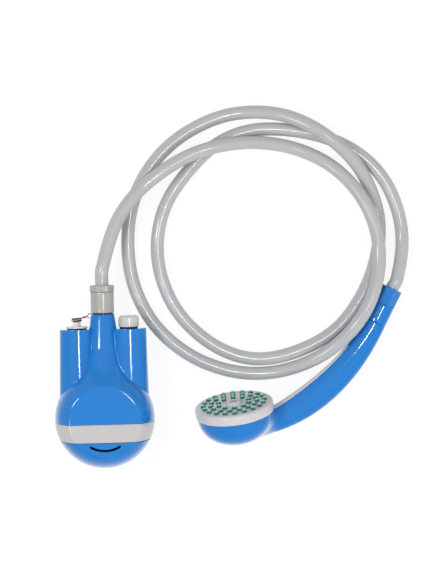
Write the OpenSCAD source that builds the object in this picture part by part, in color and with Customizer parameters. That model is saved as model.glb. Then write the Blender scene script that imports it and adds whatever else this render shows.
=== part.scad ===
// Camp shower pump: a battery pump that lies on its back, its hose in loose turns, and its hand shower.
// Millimetres. The pump's axis runs along +Y towards the neck and its front faces +Z.
// The origin is the middle of its flat back, on the surface that everything lies on.

/* [Pump body] */
// Diameter of the ball
ball_d = 95; // [92:0.5:100]
// Thickness of the body over its two flats
body_depth = 66.8; // [64:0.2:70]
// Rounding along the edge of each flat
flat_edge_r = 4; // [2:0.5:5]
// Wall of the blue mouldings
wall = 2.4; // [2:0.1:3]
// Radius of the hollow flare between ball and neck
flare_r = 57; // [50:1:65]
// Height of the neck's top over the ball's centre
neck_top = 100.2; // [97:0.5:104]
// Diameter of the neck at its top
neck_top_d = 22; // [21:0.5:24]
// Taper of the neck, in degrees a side
neck_taper = 8; // [6:0.5:10]
// Distance between the axes of the two battery tubes
tube_spread = 49; // [48:0.5:52]
// Diameter of a battery tube at its top
tube_top_d = 33; // [32:0.5:36]
// Draft of a battery tube, in degrees a side
tube_draft = 1.3; // [0.5:0.1:2]
// Height of the tube tops over the ball's centre
tube_top = 85.2; // [82:0.5:88]
// Thickness of the tube tops
tube_top_t = 3; // [2:0.5:4]

/* [Band and intake dome] */
// Depth of the band's top edge below the ball's centre
band_top = 2.6; // [1:0.2:4]
// Width of the grey band
band_w = 17.1; // [16:0.1:19]
// Thickness of the grey band
band_t = 2.2; // [1.6:0.1:2.6]
// Wall of the housing's skirt behind the band
skirt_t = 2.3; // [1.8:0.1:2.6]
// Radius of the intake slot about the middle of the flat
slot_r = 27.2; // [26.5:0.1:28.5]
// Width of the intake slot
slot_w = 1.8; // [1.2:0.1:2.4]
// Angle that the intake slot spans
slot_angle = 64; // [40:2:68]
// Thickness of the dome's upper flange
flange_t = 2.2; // [1.6:0.1:2.4]
// Radius of the strainer disc
strainer_r = 19; // [18.8:0.1:20]
// Thickness of the strainer disc
strainer_t = 1.4; // [1:0.1:1.8]
// Diameter of the holes in the strainer
strainer_hole_d = 2.4; // [1.6:0.2:3]
// Turn that frees the dome's bayonet lugs
bayonet_turn = 28; // [24:1:34]

/* [Pump works] */
// Depth of the motor deck's top below the ball's centre
deck_drop = 5; // [4:0.2:5.4]
// Thickness of the motor deck
deck_t = 3; // [2.6:0.2:3.2]
// Outer radius of the pump chamber
volute_r = 16.6; // [15:0.2:17]
// Wall of the pump chamber
volute_t = 1.4; // [1:0.1:1.8]
// Radius of the intake eye
eye_r = 6; // [4:0.5:7]
// Radius of the impeller
impeller_r = 12.4; // [11:0.2:13]
// Number of impeller vanes
vane_count = 6; // [4:1:8]
// Thickness of an impeller vane
vane_t = 1.4; // [1:0.1:2]
// Diameter of the motor shaft
shaft_d = 3; // [2:0.1:3.2]
// Diameter of the motor
motor_d = 19; // [17:0.5:19]
// Length of the motor's can
motor_len = 22; // [18:0.5:22.5]
// Outer diameter of the outlet pipe
pipe_d = 8; // [7.4:0.2:8.2]
// Bore of the outlet pipe and of the neck
pipe_bore = 5.6; // [4.6:0.2:6]

/* [Batteries and switch] */
// Diameter of a battery cell
cell_d = 26; // [24:0.5:26.5]
// Length of a battery cell
cell_len = 49; // [46:0.5:50]
// Thickness of the battery tray
tray_t = 2; // [1.6:0.2:2.2]
// Diameter of the push button
button_d = 19.5; // [18.5:0.5:22]
// Height of the push button
button_h = 11; // [10.5:0.5:14]
// Rounding of the push button's shoulder
button_round = 3.5; // [2:0.5:4]
// Travel of the push button
button_travel = 1; // [1:0.1:2.4]
// Diameter of the charge plug's flange
plug_d = 20; // [18:0.5:22]
// Diameter of the charge plug's post
post_d = 8; // [6:0.5:9]
// Height of the charge plug's post over the flange
post_h = 7.2; // [7:0.2:11]
// Diameter of one strand of the plug's tether
strand_d = 0.9; // [0.7:0.1:0.9]

/* [Hose and nuts] */
// Outer diameter of the hose
hose_d = 12.8; // [12:0.1:12.8]
// Bore of the hose
hose_bore = 8; // [7.5:0.1:8.4]
// Diameter of the pump's hose nut
hose_nut_d = 22; // [21:0.5:25]
// Length of the pump's hose nut
hose_nut_len = 25.9; // [25:0.2:28]
// Size of the hexagon on the pump's hose nut
hose_nut_hex = 20.8; // [20.2:0.2:22]
// Height of the hexagon on the pump's hose nut
hose_nut_hex_h = 6.2; // [4:0.2:9]
// Diameter of the thread under each nut
thread_d = 16.4; // [15.6:0.2:16.6]
// Diameter of the handle's nut
handle_nut_d = 21; // [20.5:0.5:23]
// Length of the handle's nut
handle_nut_len = 36.5; // [34:0.5:40]
// Size of the hexagon on the handle's nut
handle_nut_hex = 17.8; // [17.4:0.2:19]
// Length of the hexagon on the handle's nut
handle_nut_hex_h = 18; // [10:0.5:22]

/* [Hand shower] */
// Diameter of the grey bezel
head_d = 75; // [72:0.5:78]
// Depth of the grey bezel
bezel_h = 9; // [8:0.5:11]
// Rounding of the bezel's front edge
bezel_round = 2.6; // [1.5:0.1:3.5]
// Depth of the blue bowl behind the bezel
bowl_h = 30.5; // [25:0.5:31]
// Thickness of the face plate
face_t = 2.2; // [1.8:0.1:2.4]
// Height of the rubber nubs over the face
nub_h = 3.6; // [3:0.2:6]
// Diameter of a nub where it leaves the face
nub_d = 4.4; // [3.6:0.2:4.8]
// Bend radius of the handle's axis
handle_bend_r = 182; // [174:1:190]
// Depth of the handle's axis behind the face where the bend is lowest
handle_root_depth = 28.6; // [25:0.2:29]
// Half width of the handle at its nut
handle_end_w = 10.8; // [10.6:0.1:11.8]
// Swell of the handle's half width at its middle
handle_swell_w = 5.2; // [3:0.2:6]
// Swell of the handle's half thickness at its middle
handle_swell_t = 0.8; // [0:0.1:1]
// Width of the grey strip in the handle
strip_w = 6.5; // [6:0.5:11]
// Height of the grey strip over the handle
strip_h = 0.9; // [0.6:0.1:1.6]

/* [Hidden] */
$fn = 72;

// Clearances: glued or pressed pieces, running shafts, and pieces that move past each other
fit = 0.1;
run_fit = 0.05;
gap = 0.3;
// Overlap that joins two solids of one piece, and reach of a cut past a face
sink = 1;
past = 2;
// Room that any cut may take
room = 120;

// Colours
blue = [0.18, 0.48, 0.85];
grey = [0.80, 0.79, 0.77];
hose_grey = [0.76, 0.76, 0.77];
collar_grey = [0.74, 0.73, 0.69];
white = [0.92, 0.92, 0.90];
dark = [0.12, 0.12, 0.13];
steel = [0.70, 0.71, 0.73];
brass = [0.78, 0.62, 0.30];
teal = [0.16, 0.62, 0.50];
red = [0.72, 0.12, 0.18];
board_green = [0.10, 0.36, 0.20];

// Ball, flats and flare
ball_r = ball_d / 2;
flat_y = body_depth / 2;
edge_step = 14;
edge_end = 42;
edge_run = 20;
least_edge_r = 0.6;
blend_bite = 0.15;
neck_out = [cos(neck_taper), sin(neck_taper)];
neck_up = [-sin(neck_taper), cos(neck_taper)];
neck_line = neck_top_d / 2 * neck_out.x + neck_top * neck_out.y;
flare_reach = flare_r - blend_bite;
flare_rise = sqrt((ball_r + flare_reach) ^ 2 - (neck_line + flare_reach) ^ 2);
flare_c = (neck_line + flare_reach) * neck_out + flare_rise * neck_up;
neck_solid_from = 62;

// Tubes
tube_x = tube_spread / 2;
tube_floor = 8;
panel_hole_r = 6.5;
function tube_r(z) = tube_top_d / 2 + (tube_top - z) * tan(tube_draft);

// Band, skirt, deck and dome
band_low = -band_top - band_w;
dome_top = band_low - gap;
skirt_r = sqrt((ball_r - band_t - fit) ^ 2 - band_low ^ 2) - skirt_t;
skirt_y = flat_y - band_t - fit - skirt_t;
deck_r = skirt_r - 2 * fit;
deck_y = skirt_y - 2 * fit;
deck_top = -deck_drop;
deck_low = deck_top - deck_t;
seal_groove = 1.6;
gasket_t = 1.6;
boss_r = 4;
boss_margin = 0.5;
boss_turn = 34;
boss_reach = skirt_r - boss_r - boss_margin;
boss_x = boss_reach * cos(boss_turn);
boss_y = boss_reach * sin(boss_turn);
boss_top = 40;
screw_r = 1.4;
screw_head_r = 2.8;
screw_head_h = 2;
screw_len = 12;

// Bayonet
spigot_t = 2.2;
spigot_in_r = strainer_r + gap;
spigot_r = spigot_in_r + spigot_t;
spigot_h = 8;
collar_in_r = spigot_r + gap;
lug_h = 2.4;
lug_out = 1.5;
lug_count = 3;
lug_angle = 20;
lug_drop = 1.6;
lug_low = dome_top + spigot_h - lug_drop - lug_h;
collar_wall = 1;
collar_r = collar_in_r + lug_out + collar_wall;
strainer_ledge = 1.6;
strainer_rings = 4;
strainer_pitch = 4;
strainer_ring_holes = 6;

// Pump chamber
volute_gap = 1.8;
volute_low = dome_top + volute_gap;
volute_lobe = 1;
pipe_r = pipe_d / 2;
pipe_offset = strainer_r - pipe_r - volute_lobe;
shaft_r = shaft_d / 2;
hub_r = 3.4;
plate_t = 1.2;
plate_gap = 1.4;
vane_floor_gap = 1;
vane_bend_r = 7.6;
vane_bend_x = 6.6;
shaft_low = volute_low + volute_t + vane_floor_gap;
seal_r = 4.4;
seal_lip = 0.8;
motor_r = motor_d / 2;
bell_h = 4;
bell_inset = 0.4;
motor_top = deck_top + motor_len;
shaft_stop = 1;
terminal_w = 2.4;
terminal_t = 1;
terminal_out = 0.6;
terminal_x = 5.6;

// Outlet pipe: two bends bring it from behind the motor onto the pump's axis
bend_r = 20;
bend_a = 35;
bend_rings = 5;
pipe_sides = 24;
slant = (pipe_offset - 2 * bend_r * (1 - cos(bend_a))) / sin(bend_a);
pipe_rise = 2 * bend_r * sin(bend_a) + slant * cos(bend_a);
pipe_seat = 7;
pipe_top = neck_solid_from + pipe_seat;
bend_top = neck_solid_from - sink;
bend_low = bend_top - pipe_rise;

// Batteries
tray_low = motor_top + bell_h + gap;
tray_r = 14.8;
tray_bar = 9;
cell_low = tray_low + tray_t;
cell_cap_r = 4;
cell_cap_h = 1.2;
board_size = [28, 1.6, 21];
board_gap = 4;
board_y = -motor_r - board_gap;

// Button on the right tube
panel_low = tube_top - tube_top_t;
button_gasket_t = 1.4;
button_gasket_r = 8.6;
bushing_flange_t = 1.2;
bushing_r = panel_hole_r - fit;
bushing_flange_r = 8.3;
bushing_tail = 3.4;
bushing_nose = 1.6;
button_gap = 0.3;
bushing_low = panel_low - bushing_tail;
bushing_top = tube_top + button_gasket_t + bushing_flange_t + bushing_nose;
button_low = tube_top + button_travel + button_gap;
button_r = button_d / 2;
button_wall = (button_d - 2 * button_gasket_r) / 2 - gap;
button_cap_t = 2;
button_top = button_low + button_h;
stem_r = 3;
switch_size = [12, 12, 2.4];
switch_gap = 0.6;
switch_low = cell_low + cell_len + cell_cap_h + switch_gap;
spring_r = 4.6;
spring_wire = 0.7;
spring_turns = 4;
curl_rings = 12;
round_steps = 6;
panel_nut_af = 17;
panel_nut_h = 2.4;

// Charge plug on the left tube
plug_gasket_t = 0.8;
plug_gasket_r = 9.3;
plug_flange_low = tube_top + fit + plug_gasket_t;
plug_flange_t = 1.5;
plug_stem_r = 4.4;
plug_stem_in_r = 2.4;
socket_in_r = 4.8;
socket_floor = 2;
socket_depth = 5.5;
plug_stem_len = tube_top_t + socket_depth - socket_floor - gap;
socket_low = panel_low - socket_depth;
pin_r = 1.2;
pin_h = 5;
post_r = post_d / 2;
post_top = plug_flange_low + plug_flange_t + post_h;

// Tether: two strands twist round each other between the plug's post and the neck
strand_r = strand_d / 2;
strand_sides = 6;
tie_drop = 1.9;
tie_z = post_top - tie_drop;
tie_r = post_r + strand_r + fit;
turn_rings = 16;
neck_groove_h = 1.4;
neck_groove_t = 1;
neck_groove_r = neck_top_d / 2 - neck_groove_t;
neck_tie_z = neck_top - neck_groove_h / 2;
neck_tie_r = (neck_groove_r + strand_r + fit) / cos(180 / turn_rings);
twist_r = strand_r + fit;
twist_turns = 1.25;
neck_stand = 1.2;
tie_open = 26;
span_rings = 16;
tail_out = 4;

// Hose joint on the pump
thread_r = thread_d / 2;
thread_h = 10.4;
spigot_bore_r = 4.6;
stem_seat = 6;
washer_t = 1.4;
barb_flange_t = 1.5;
barb_shy = 0.25;
barb_r = hose_bore / 2 - barb_shy;
barb_tip_r = hose_bore / 2 - fit;
barb_len = 10;
barb_ring_h = 2.4;
barb_bore_r = 2.8;
hose_r = hose_d / 2;
hose_sides = 10;
hose_ease = 0.15;
hose_out_r = hose_r / cos(180 / hose_sides) - hose_ease;
hose_in_r = hose_bore / 2 / cos(180 / hose_sides);
grip_in_r = hose_out_r + fit;
grip_r = 8;
grip_h = 7.4;
grip_slit = 1.2;
hose_start = neck_top + thread_h + washer_t + barb_flange_t;
nut_low = neck_top + gap;
nut_top = nut_low + hose_nut_len;
nut_bore_r = thread_r + gap;
hose_hole_r = hose_out_r + gap;
nut_roof = nut_top - hose_start - grip_h - 2 * gap;
hex_out = 0.5;
hex_round_r = hose_nut_d / 2 + hex_out;

// Hand shower in its own frame: the face looks along +Z and the handle bends from +X towards +Z
head_r = head_d / 2;
bowl_step = 0.5;
bowl_rim_r = head_r - bowl_step;
bowl_r = (bowl_rim_r ^ 2 + bowl_h ^ 2) / (2 * bowl_h);
bowl_z = bowl_r - bowl_h - bezel_h;
bezel_wall = 2.6;
bezel_in_r = head_r - bezel_wall;
upstand_r = bezel_in_r - gap;
upstand_t = 1.8;
upstand_drop = 2.5;
upstand_top = -face_t - upstand_drop;
chamber_r = upstand_r - upstand_t;
mat_t = 1.6;
mat_r = chamber_r - gap;
mat_top = -face_t - run_fit;
nub_r = nub_d / 2;
nub_margin = 0.9;
nub_pitch = 7.2;
nub_counts = [10, 15, 20];
function nub_ring_r(i) = mat_r - nub_r - nub_margin - (len(nub_counts) - 1 - i) * nub_pitch;
nub_tip_r = 1.3;
nub_bore_r = 0.5;
nub_hole_r = nub_r + fit;
seal_ring_r = 1;
post_in_r = 4;
face_dimple_r = 5.6;
face_dimple_h = 0.9;
face_screw_r = 1.5;
face_screw_head_r = 3.8;
face_screw_head_h = 1.6;
face_screw_len = 12;
handle_c_x = 6;
handle_c = [handle_c_x, handle_bend_r - handle_root_depth];
handle_root = -91;
handle_from = -88;
handle_seam = -35.9;
handle_root_w = 9;
handle_root_t = 9;
handle_end_t = 10.2;
swell_lean = 0.8;
swell_ease = 1.3;
handle_rings = 16;
handle_sides = 24;
duct_r = 5;
duct_to = handle_seam - 2;
strip_from = -77;
strip_to = -46;
strip_rings = 10;
strip_seat = 1.4;
tail_plug_r = 6;
tail_plug_len = 11;
tail_thread_h = 12;
tail_bore_r = 3.4;
handle_nut_low = gap;
handle_hose_start = tail_thread_h + washer_t;
handle_nut_roof = handle_nut_len - handle_hose_start - grip_h - 2 * gap;

// Place of the hand shower: its face centre, lean of the face, turn about the vertical, dip of the handle
head_x = 122.5;
head_y = 11.2;
face_lean = 12.5;
face_turn = 7.3;
handle_dip = 14.7;
head_z = bezel_h * sin(face_lean) + head_r * cos(face_lean);

// Route of the hose between the two nuts, by hand: x, y and height of its middle
hose_points = [
    [2, 147, 33], [7, 165, 31], [16.5, 189, 27], [35.5, 213.5, 21], [62, 234.5, 20.5], [89, 249, 21],
    [119, 257, 20.5], [152, 259, 14], [189, 252.5, 9], [222, 236, 13], [246, 211.5, 20],
    [261, 183, 21.5], [266.5, 153, 22.5], [262.5, 120, 25], [246, 86, 25], [217, 57, 15.5],
    [182, 40.5, 8], [145, 36, 7], [109, 43, 7], [76, 60, 7], [48, 87.5, 7], [31, 122, 7],
    [25.5, 158, 7], [28.5, 194, 7], [40, 224, 7], [58.5, 249.5, 7], [83.5, 269.5, 7], [117, 284.5, 7],
    [150, 288.5, 7.5], [180.5, 284, 14], [207.5, 271, 20.5], [230, 254, 20.5], [248, 234.5, 16],
    [261.5, 210, 8.5], [269, 182, 7], [266.5, 150.5, 7], [253.5, 114, 7], [226.5, 78, 7], [188, 57, 7],
    [146, 50, 7], [107.5, 63.5, 7], [75, 93, 7], [58, 127.5, 7], [53.5, 163, 7], [62, 200, 7],
    [84.5, 232.5, 7], [113, 258.5, 7], [146, 271, 7], [184, 270.5, 7], [220.5, 262, 7], [251, 246, 7],
    [274.5, 221, 7], [288, 188, 7], [291, 158, 8]
];
hose_lead = 12;
hose_straights = 3;
hose_steps = 2;
gap_steps = 4;
gap_skip = 14;

function unit(v) = v / norm(v);
function turn_x(v, a) = [v.x, v.y * cos(a) - v.z * sin(a), v.y * sin(a) + v.z * cos(a)];
function turn_z(v, a) = [v.x * cos(a) - v.y * sin(a), v.x * sin(a) + v.y * cos(a), v.z];

// Points of the two frames, carried to where the pieces lie
function pump_point(p) = [p.x, p.z, flat_y - p.y];
function head_point(p) =
    [head_x, head_y, head_z] + turn_z(turn_x(turn_z(p, handle_dip), face_lean - 90), face_turn);

module pump_pose() {
    translate([0, 0, flat_y]) rotate([-90, 0, 0]) children();
}

module head_pose() {
    translate([head_x, head_y, head_z])
        rotate([face_lean - 90, 0, face_turn]) rotate([0, 0, handle_dip]) children();
}

// Handle: points on its bent axis, and the frame at its seam with the nut
function axis_point(a) = [handle_c.x + handle_bend_r * cos(a), 0, handle_c.y + handle_bend_r * sin(a)];
function axis_dir(a) = [-sin(a), 0, cos(a)];
function axis_out(a) = [cos(a), 0, sin(a)];
function handle_t(a) = max(a - handle_from, 0) / (handle_seam - handle_from);
function swell(a) = pow(max(sin(180 * pow(handle_t(a), swell_lean)), 0), swell_ease);
function mix(a, b, t) = a + (b - a) * t;
function handle_w(a) = mix(handle_root_w, handle_end_w, handle_t(a)) + handle_swell_w * swell(a);
function handle_th(a) = mix(handle_root_t, handle_end_t, handle_t(a)) + handle_swell_t * swell(a);
function seam_point(d) = axis_point(handle_seam) + d * axis_dir(handle_seam);

module seam_pose() {
    translate(axis_point(handle_seam)) rotate([0, -handle_seam, 0]) children();
}

// Smooth curve through points, n steps between each pair
function knot(p, i) =
    i < 0 ? 2 * p[0] - p[1] : i > len(p) - 1 ? 2 * p[len(p) - 1] - p[len(p) - 2] : p[i];
function between(a, b, c, d, t) =
    (2 * b + (c - a) * t + (2 * a - 5 * b + 4 * c - d) * t ^ 2 + (3 * b - a - 3 * c + d) * t ^ 3) / 2;
function curve(p, n) = concat(
    [for (i = [0:len(p) - 2], k = [0:n - 1])
        between(knot(p, i - 1), p[i], p[i + 1], knot(p, i + 2), k / n)],
    [p[len(p) - 1]]);

// Rings round a path, square to it, with one side kept level
function path_dir(p, i) = unit(p[min(i + 1, len(p) - 1)] - p[max(i - 1, 0)]);
function ring(at, dir, r, n) =
    let (side = unit(cross(dir, [0, 0, 1])), up = cross(side, dir))
    [for (k = [0:n - 1]) at + r * (cos(360 * k / n) * side + sin(360 * k / n) * up)];
function skin(n, rings, first, out) = [
    for (i = [0:rings - 2], k = [0:n - 1])
        let (a = first + i * n + k, b = first + i * n + (k + 1) % n, c = a + n, d = b + n)
        each out ? [[a, b, c], [b, d, c]] : [[a, c, b], [b, c, d]]];
function cap(n, first, out) = [
    for (k = [1:n - 2]) out ? [first, first + k, first + k + 1] : [first, first + k + 1, first + k]];
function rim(n, outer, inner, out) = [
    for (k = [0:n - 1])
        let (a = outer + k, b = outer + (k + 1) % n, c = inner + k, d = inner + (k + 1) % n)
        each out ? [[a, b, c], [b, d, c]] : [[a, c, b], [b, c, d]]];

module strand(path, r, n) {
    points = [for (i = [0:len(path) - 1]) each ring(path[i], path_dir(path, i), r, n)];
    polyhedron(points, concat(
        skin(n, len(path), 0, true), cap(n, 0, false), cap(n, (len(path) - 1) * n, true)), convexity = 10);
}

module tube_along(path, r, bore_r, n) {
    count = len(path) * n;
    last = (len(path) - 1) * n;
    points = concat(
        [for (i = [0:len(path) - 1]) each ring(path[i], path_dir(path, i), r, n)],
        [for (i = [0:len(path) - 1]) each ring(path[i], path_dir(path, i), bore_r, n)]);
    polyhedron(points, concat(
        skin(n, len(path), 0, true), skin(n, len(path), count, false),
        rim(n, 0, count, false), rim(n, last, count + last, true)), convexity = 10);
}

module loft(rings) {
    n = len(rings[0]);
    polyhedron([for (r = rings) each r], concat(
        skin(n, len(rings), 0, true), cap(n, 0, false), cap(n, (len(rings) - 1) * n, true)), convexity = 6);
}

// Space between two heights
module slab(low, high) {
    translate([-room, -room, low]) cube([2 * room, 2 * room, high - low]);
}

module pipe(r, bore_r, low, high) {
    translate([0, 0, low]) difference() {
        cylinder(r = r, h = high - low);
        translate([0, 0, -past]) cylinder(r = bore_r, h = high - low + 2 * past);
    }
}

// Ball with its two flats, grown or shrunk evenly: one outline turned about the line through both flats
module ball_outline(r, d, e) {
    edge_x = sqrt((r - e) ^ 2 - (d - e) ^ 2);
    edge = [for (a = [0:edge_step:edge_end]) [edge_x + e * sin(a), d - e + e * cos(a)]];
    run_out = edge[len(edge) - 1] + edge_run * [cos(edge_end), -sin(edge_end)];
    upper = concat([[0, d]], edge, [run_out]);
    intersection() {
        circle(r);
        polygon(concat(upper, [for (i = [len(upper) - 1:-1:0]) [upper[i].x, -upper[i].y]]));
    }
}

module ball(grow) {
    rotate([90, 0, 0]) rotate_extrude()
        ball_outline(ball_r + grow, flat_y + grow, max(flat_edge_r + grow, least_edge_r));
}

// Hollow flare and tapered neck, up to a height
module flare(grow, top) {
    rotate_extrude() difference() {
        polygon([
            [0, 0], flare_c, (neck_line + grow) * neck_out + flare_rise * neck_up,
            [(neck_line + grow - top * neck_out.y) / neck_out.x, top], [0, top]]);
        translate(flare_c) circle(flare_r - grow);
    }
}

module battery_tube(side, low, high, grow) {
    translate([side * tube_x, 0, low])
        cylinder(r1 = tube_r(low) + grow, r2 = tube_r(high) + grow, h = high - low);
}

module at_bosses() {
    for (x = [-boss_x, boss_x], y = [-boss_y, boss_y]) translate([x, y, 0]) children();
}

module deck_plan(r, y) {
    intersection() {
        circle(r);
        square([2 * r, 2 * y], center = true);
    }
}

module upper_housing() {
    color(blue) pump_pose() difference() {
        union() {
            difference() {
                union() {
                    difference() {
                        union() {
                            ball(0);
                            flare(0, neck_top);
                            for (side = [-1, 1]) battery_tube(side, 0, tube_top, 0);
                        }
                        slab(-room, -band_top);
                    }
                    intersection() {
                        ball(-band_t - fit);
                        slab(band_low, sink - band_top);
                    }
                }
                intersection() {
                    ball(-wall);
                    slab(wall - band_top, room);
                }
                flare(-wall, neck_solid_from);
                for (side = [-1, 1]) battery_tube(side, tube_floor, panel_low, -wall);
                translate([0, 0, band_low - past])
                    linear_extrude(band_w + past + wall + sink) deck_plan(skirt_r, skirt_y);
            }
            intersection() {
                at_bosses() translate([0, 0, deck_top]) cylinder(r = boss_r, h = boss_top - deck_top);
                ball(-wall / 2);
            }
            translate([0, 0, neck_top - sink]) cylinder(r = thread_r, h = thread_h + sink);
        }
        at_bosses() translate([0, 0, deck_top - past]) cylinder(r = screw_r + run_fit, h = screw_len + past);
        for (side = [-1, 1]) translate([side * tube_x, 0, panel_low - past])
            cylinder(r = panel_hole_r, h = tube_top_t + 2 * past);
        translate([0, 0, neck_solid_from - past])
            cylinder(r = pipe_r + fit, h = pipe_top - neck_solid_from + past);
        cylinder(r = pipe_bore / 2, h = neck_top + thread_h);
        translate([0, 0, neck_top + thread_h - stem_seat]) cylinder(r = spigot_bore_r, h = stem_seat + past);
        pipe(neck_top_d, neck_groove_r, neck_top - neck_groove_h, neck_top + fit / 2);
    }
}

module band_ring() {
    color(grey) pump_pose() difference() {
        intersection() {
            ball(0);
            slab(band_low, -band_top - fit);
        }
        ball(-band_t);
    }
}

// One slot in each flat, bent about the middle of the flat
module intake_slot() {
    rotate([90, 0, 0]) translate([0, 0, flat_y - wall - past]) rotate([0, 0, -90 - slot_angle / 2])
        rotate_extrude(angle = slot_angle) translate([slot_r - slot_w / 2, 0])
            square([slot_w, wall + 2 * past]);
}

module lug_ring(low, high, in_r, out_r, angle, turn) {
    for (i = [0:lug_count - 1]) rotate([0, 0, 360 / lug_count * i + turn - angle / 2])
        rotate_extrude(angle = angle) translate([in_r, low]) square([out_r - in_r, high - low]);
}

module intake_dome() {
    color(blue) pump_pose() difference() {
        union() {
            difference() {
                intersection() {
                    ball(0);
                    slab(-room, dome_top);
                }
                intersection() {
                    ball(-wall);
                    slab(-room, dome_top - flange_t);
                }
            }
            pipe(spigot_r, spigot_in_r, dome_top - sink, dome_top + spigot_h);
            pipe(spigot_in_r + sink, spigot_in_r - strainer_ledge,
                dome_top - flange_t - strainer_ledge, dome_top - flange_t + fit);
            lug_ring(lug_low, lug_low + lug_h, spigot_r - sink, spigot_r + lug_out, lug_angle, 0);
        }
        translate([0, 0, dome_top - flange_t]) cylinder(r = spigot_in_r, h = flange_t + past);
        translate([0, 0, dome_top - flange_t - past])
            cylinder(r = spigot_in_r - strainer_ledge, h = flange_t + 2 * past);
        for (side = [0, 180]) rotate([0, 0, side]) intake_slot();
    }
}

module strainer() {
    low = dome_top - flange_t + fit;
    color(steel) pump_pose() translate([0, 0, low]) difference() {
        cylinder(r = strainer_r, h = strainer_t);
        for (i = [1:strainer_rings], k = [0:strainer_ring_holes * i - 1])
            rotate([0, 0, 360 * k / (strainer_ring_holes * i)]) translate([strainer_pitch * i, 0, -past])
                cylinder(d = strainer_hole_d, h = strainer_t + 2 * past, $fn = 16);
    }
}

module motor_deck() {
    color(collar_grey) pump_pose() difference() {
        union() {
            translate([0, 0, deck_low]) linear_extrude(deck_t) difference() {
                deck_plan(deck_r, deck_y);
                for (x = [-boss_x, boss_x], y = [-boss_y, boss_y]) translate([x, y]) circle(screw_r + fit);
            }
            pipe(collar_r, collar_in_r, band_low, deck_low + sink);
        }
        translate([0, 0, deck_low + (deck_t - gasket_t) / 2]) linear_extrude(gasket_t) difference() {
            deck_plan(deck_r + past, deck_y + past);
            deck_plan(deck_r - seal_groove, deck_y - seal_groove);
        }
        pipe(collar_in_r + lug_out + gap, collar_in_r - sink, lug_low - gap, lug_low + lug_h + gap);
        lug_ring(band_low - past, lug_low + lug_h, collar_in_r - sink, collar_in_r + lug_out + gap - run_fit,
            lug_angle + 4, bayonet_turn);
        translate([0, 0, deck_low - past]) cylinder(r = seal_r + run_fit, h = deck_t - seal_lip + past);
        translate([0, 0, deck_low - past]) cylinder(r = shaft_r + sink, h = deck_t + 2 * past);
        translate([0, pipe_offset, deck_low - past]) cylinder(r = pipe_r + fit, h = deck_t + 2 * past);
    }
}

module deck_gasket() {
    color(dark) pump_pose() translate([0, 0, deck_low + (deck_t - gasket_t) / 2 + run_fit])
        linear_extrude(gasket_t - 2 * run_fit) difference() {
            deck_plan(deck_r + fit, deck_y + fit);
            deck_plan(deck_r - seal_groove + run_fit, deck_y - seal_groove + run_fit);
        }
}

module deck_screws() {
    color(steel) pump_pose() at_bosses() {
        translate([0, 0, deck_low - screw_head_h]) cylinder(r = screw_head_r, h = screw_head_h);
        translate([0, 0, deck_low - sink / 2]) cylinder(r = screw_r, h = screw_len - sink);
    }
}

module pump_volute() {
    color(collar_grey) pump_pose() difference() {
        union() {
            translate([0, 0, volute_low]) cylinder(r = volute_r, h = deck_low - volute_low);
            translate([0, pipe_offset, volute_low])
                cylinder(r = pipe_r + volute_lobe, h = deck_low - volute_low);
        }
        translate([0, 0, volute_low + volute_t])
            cylinder(r = volute_r - volute_t, h = deck_low - volute_low);
        translate([0, 0, volute_low - past]) cylinder(r = eye_r, h = volute_t + 2 * past);
        translate([0, pipe_offset, volute_low + volute_t])
            cylinder(r = pipe_bore / 2, h = deck_low - volute_low);
    }
}

module impeller() {
    plate_top = deck_low - plate_gap;
    vane_low = volute_low + volute_t + vane_floor_gap;
    color(white) pump_pose() difference() {
        union() {
            translate([0, 0, plate_top - plate_t]) cylinder(r = impeller_r, h = plate_t);
            translate([0, 0, vane_low]) cylinder(r = hub_r, h = plate_top - vane_low);
            translate([0, 0, vane_low]) linear_extrude(plate_top - plate_t / 2 - vane_low)
                for (i = [0:vane_count - 1]) rotate(360 * i / vane_count) intersection() {
                    translate([vane_bend_x, 0]) difference() {
                        circle(vane_bend_r);
                        circle(vane_bend_r - vane_t);
                    }
                    circle(impeller_r - fit);
                    square([2 * impeller_r, impeller_r]);
                }
        }
        translate([0, 0, vane_low - past])
            cylinder(r = shaft_r + run_fit / 2, h = plate_top - vane_low + 2 * past);
    }
}

module motor_shaft() {
    color(steel) pump_pose() translate([0, 0, shaft_low])
        cylinder(r = shaft_r, h = motor_top + bell_h - shaft_stop - run_fit - shaft_low);
}

module shaft_seal() {
    color(dark) pump_pose()
        pipe(seal_r, shaft_r + run_fit, deck_low + run_fit, deck_top - seal_lip - run_fit);
}

module motor_can() {
    color(steel) pump_pose() pipe(motor_r, shaft_r + run_fit, deck_top, motor_top);
}

module motor_bell() {
    color(dark) pump_pose() difference() {
        union() {
            translate([0, 0, motor_top]) cylinder(r = motor_r - bell_inset, h = bell_h);
            for (side = [-1, 1]) translate([side * terminal_x - terminal_w / 2, 0, motor_top + sink])
                cube([terminal_w, motor_r - terminal_out, terminal_t]);
        }
        translate([0, 0, motor_top - past]) cylinder(r = shaft_r + run_fit, h = bell_h - shaft_stop + past);
    }
}

// Middle of a pipe that starts straight, swings over to the axis in two bends and ends straight
outlet_path = concat(
    [[0, pipe_offset, deck_low], [0, pipe_offset, (deck_low + bend_low) / 2]],
    [for (i = [0:bend_rings]) let (a = bend_a * i / bend_rings)
        [0, pipe_offset - bend_r * (1 - cos(a)), bend_low + bend_r * sin(a)]],
    [for (i = [bend_rings:-1:0]) let (a = bend_a * i / bend_rings)
        [0, bend_r * (1 - cos(a)), bend_top - bend_r * sin(a)]],
    [[0, 0, pipe_top - fit]]);

module outlet_pipe() {
    color(white) tube_along([for (p = outlet_path) pump_point(p)], pipe_r, pipe_bore / 2, pipe_sides);
}

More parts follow.
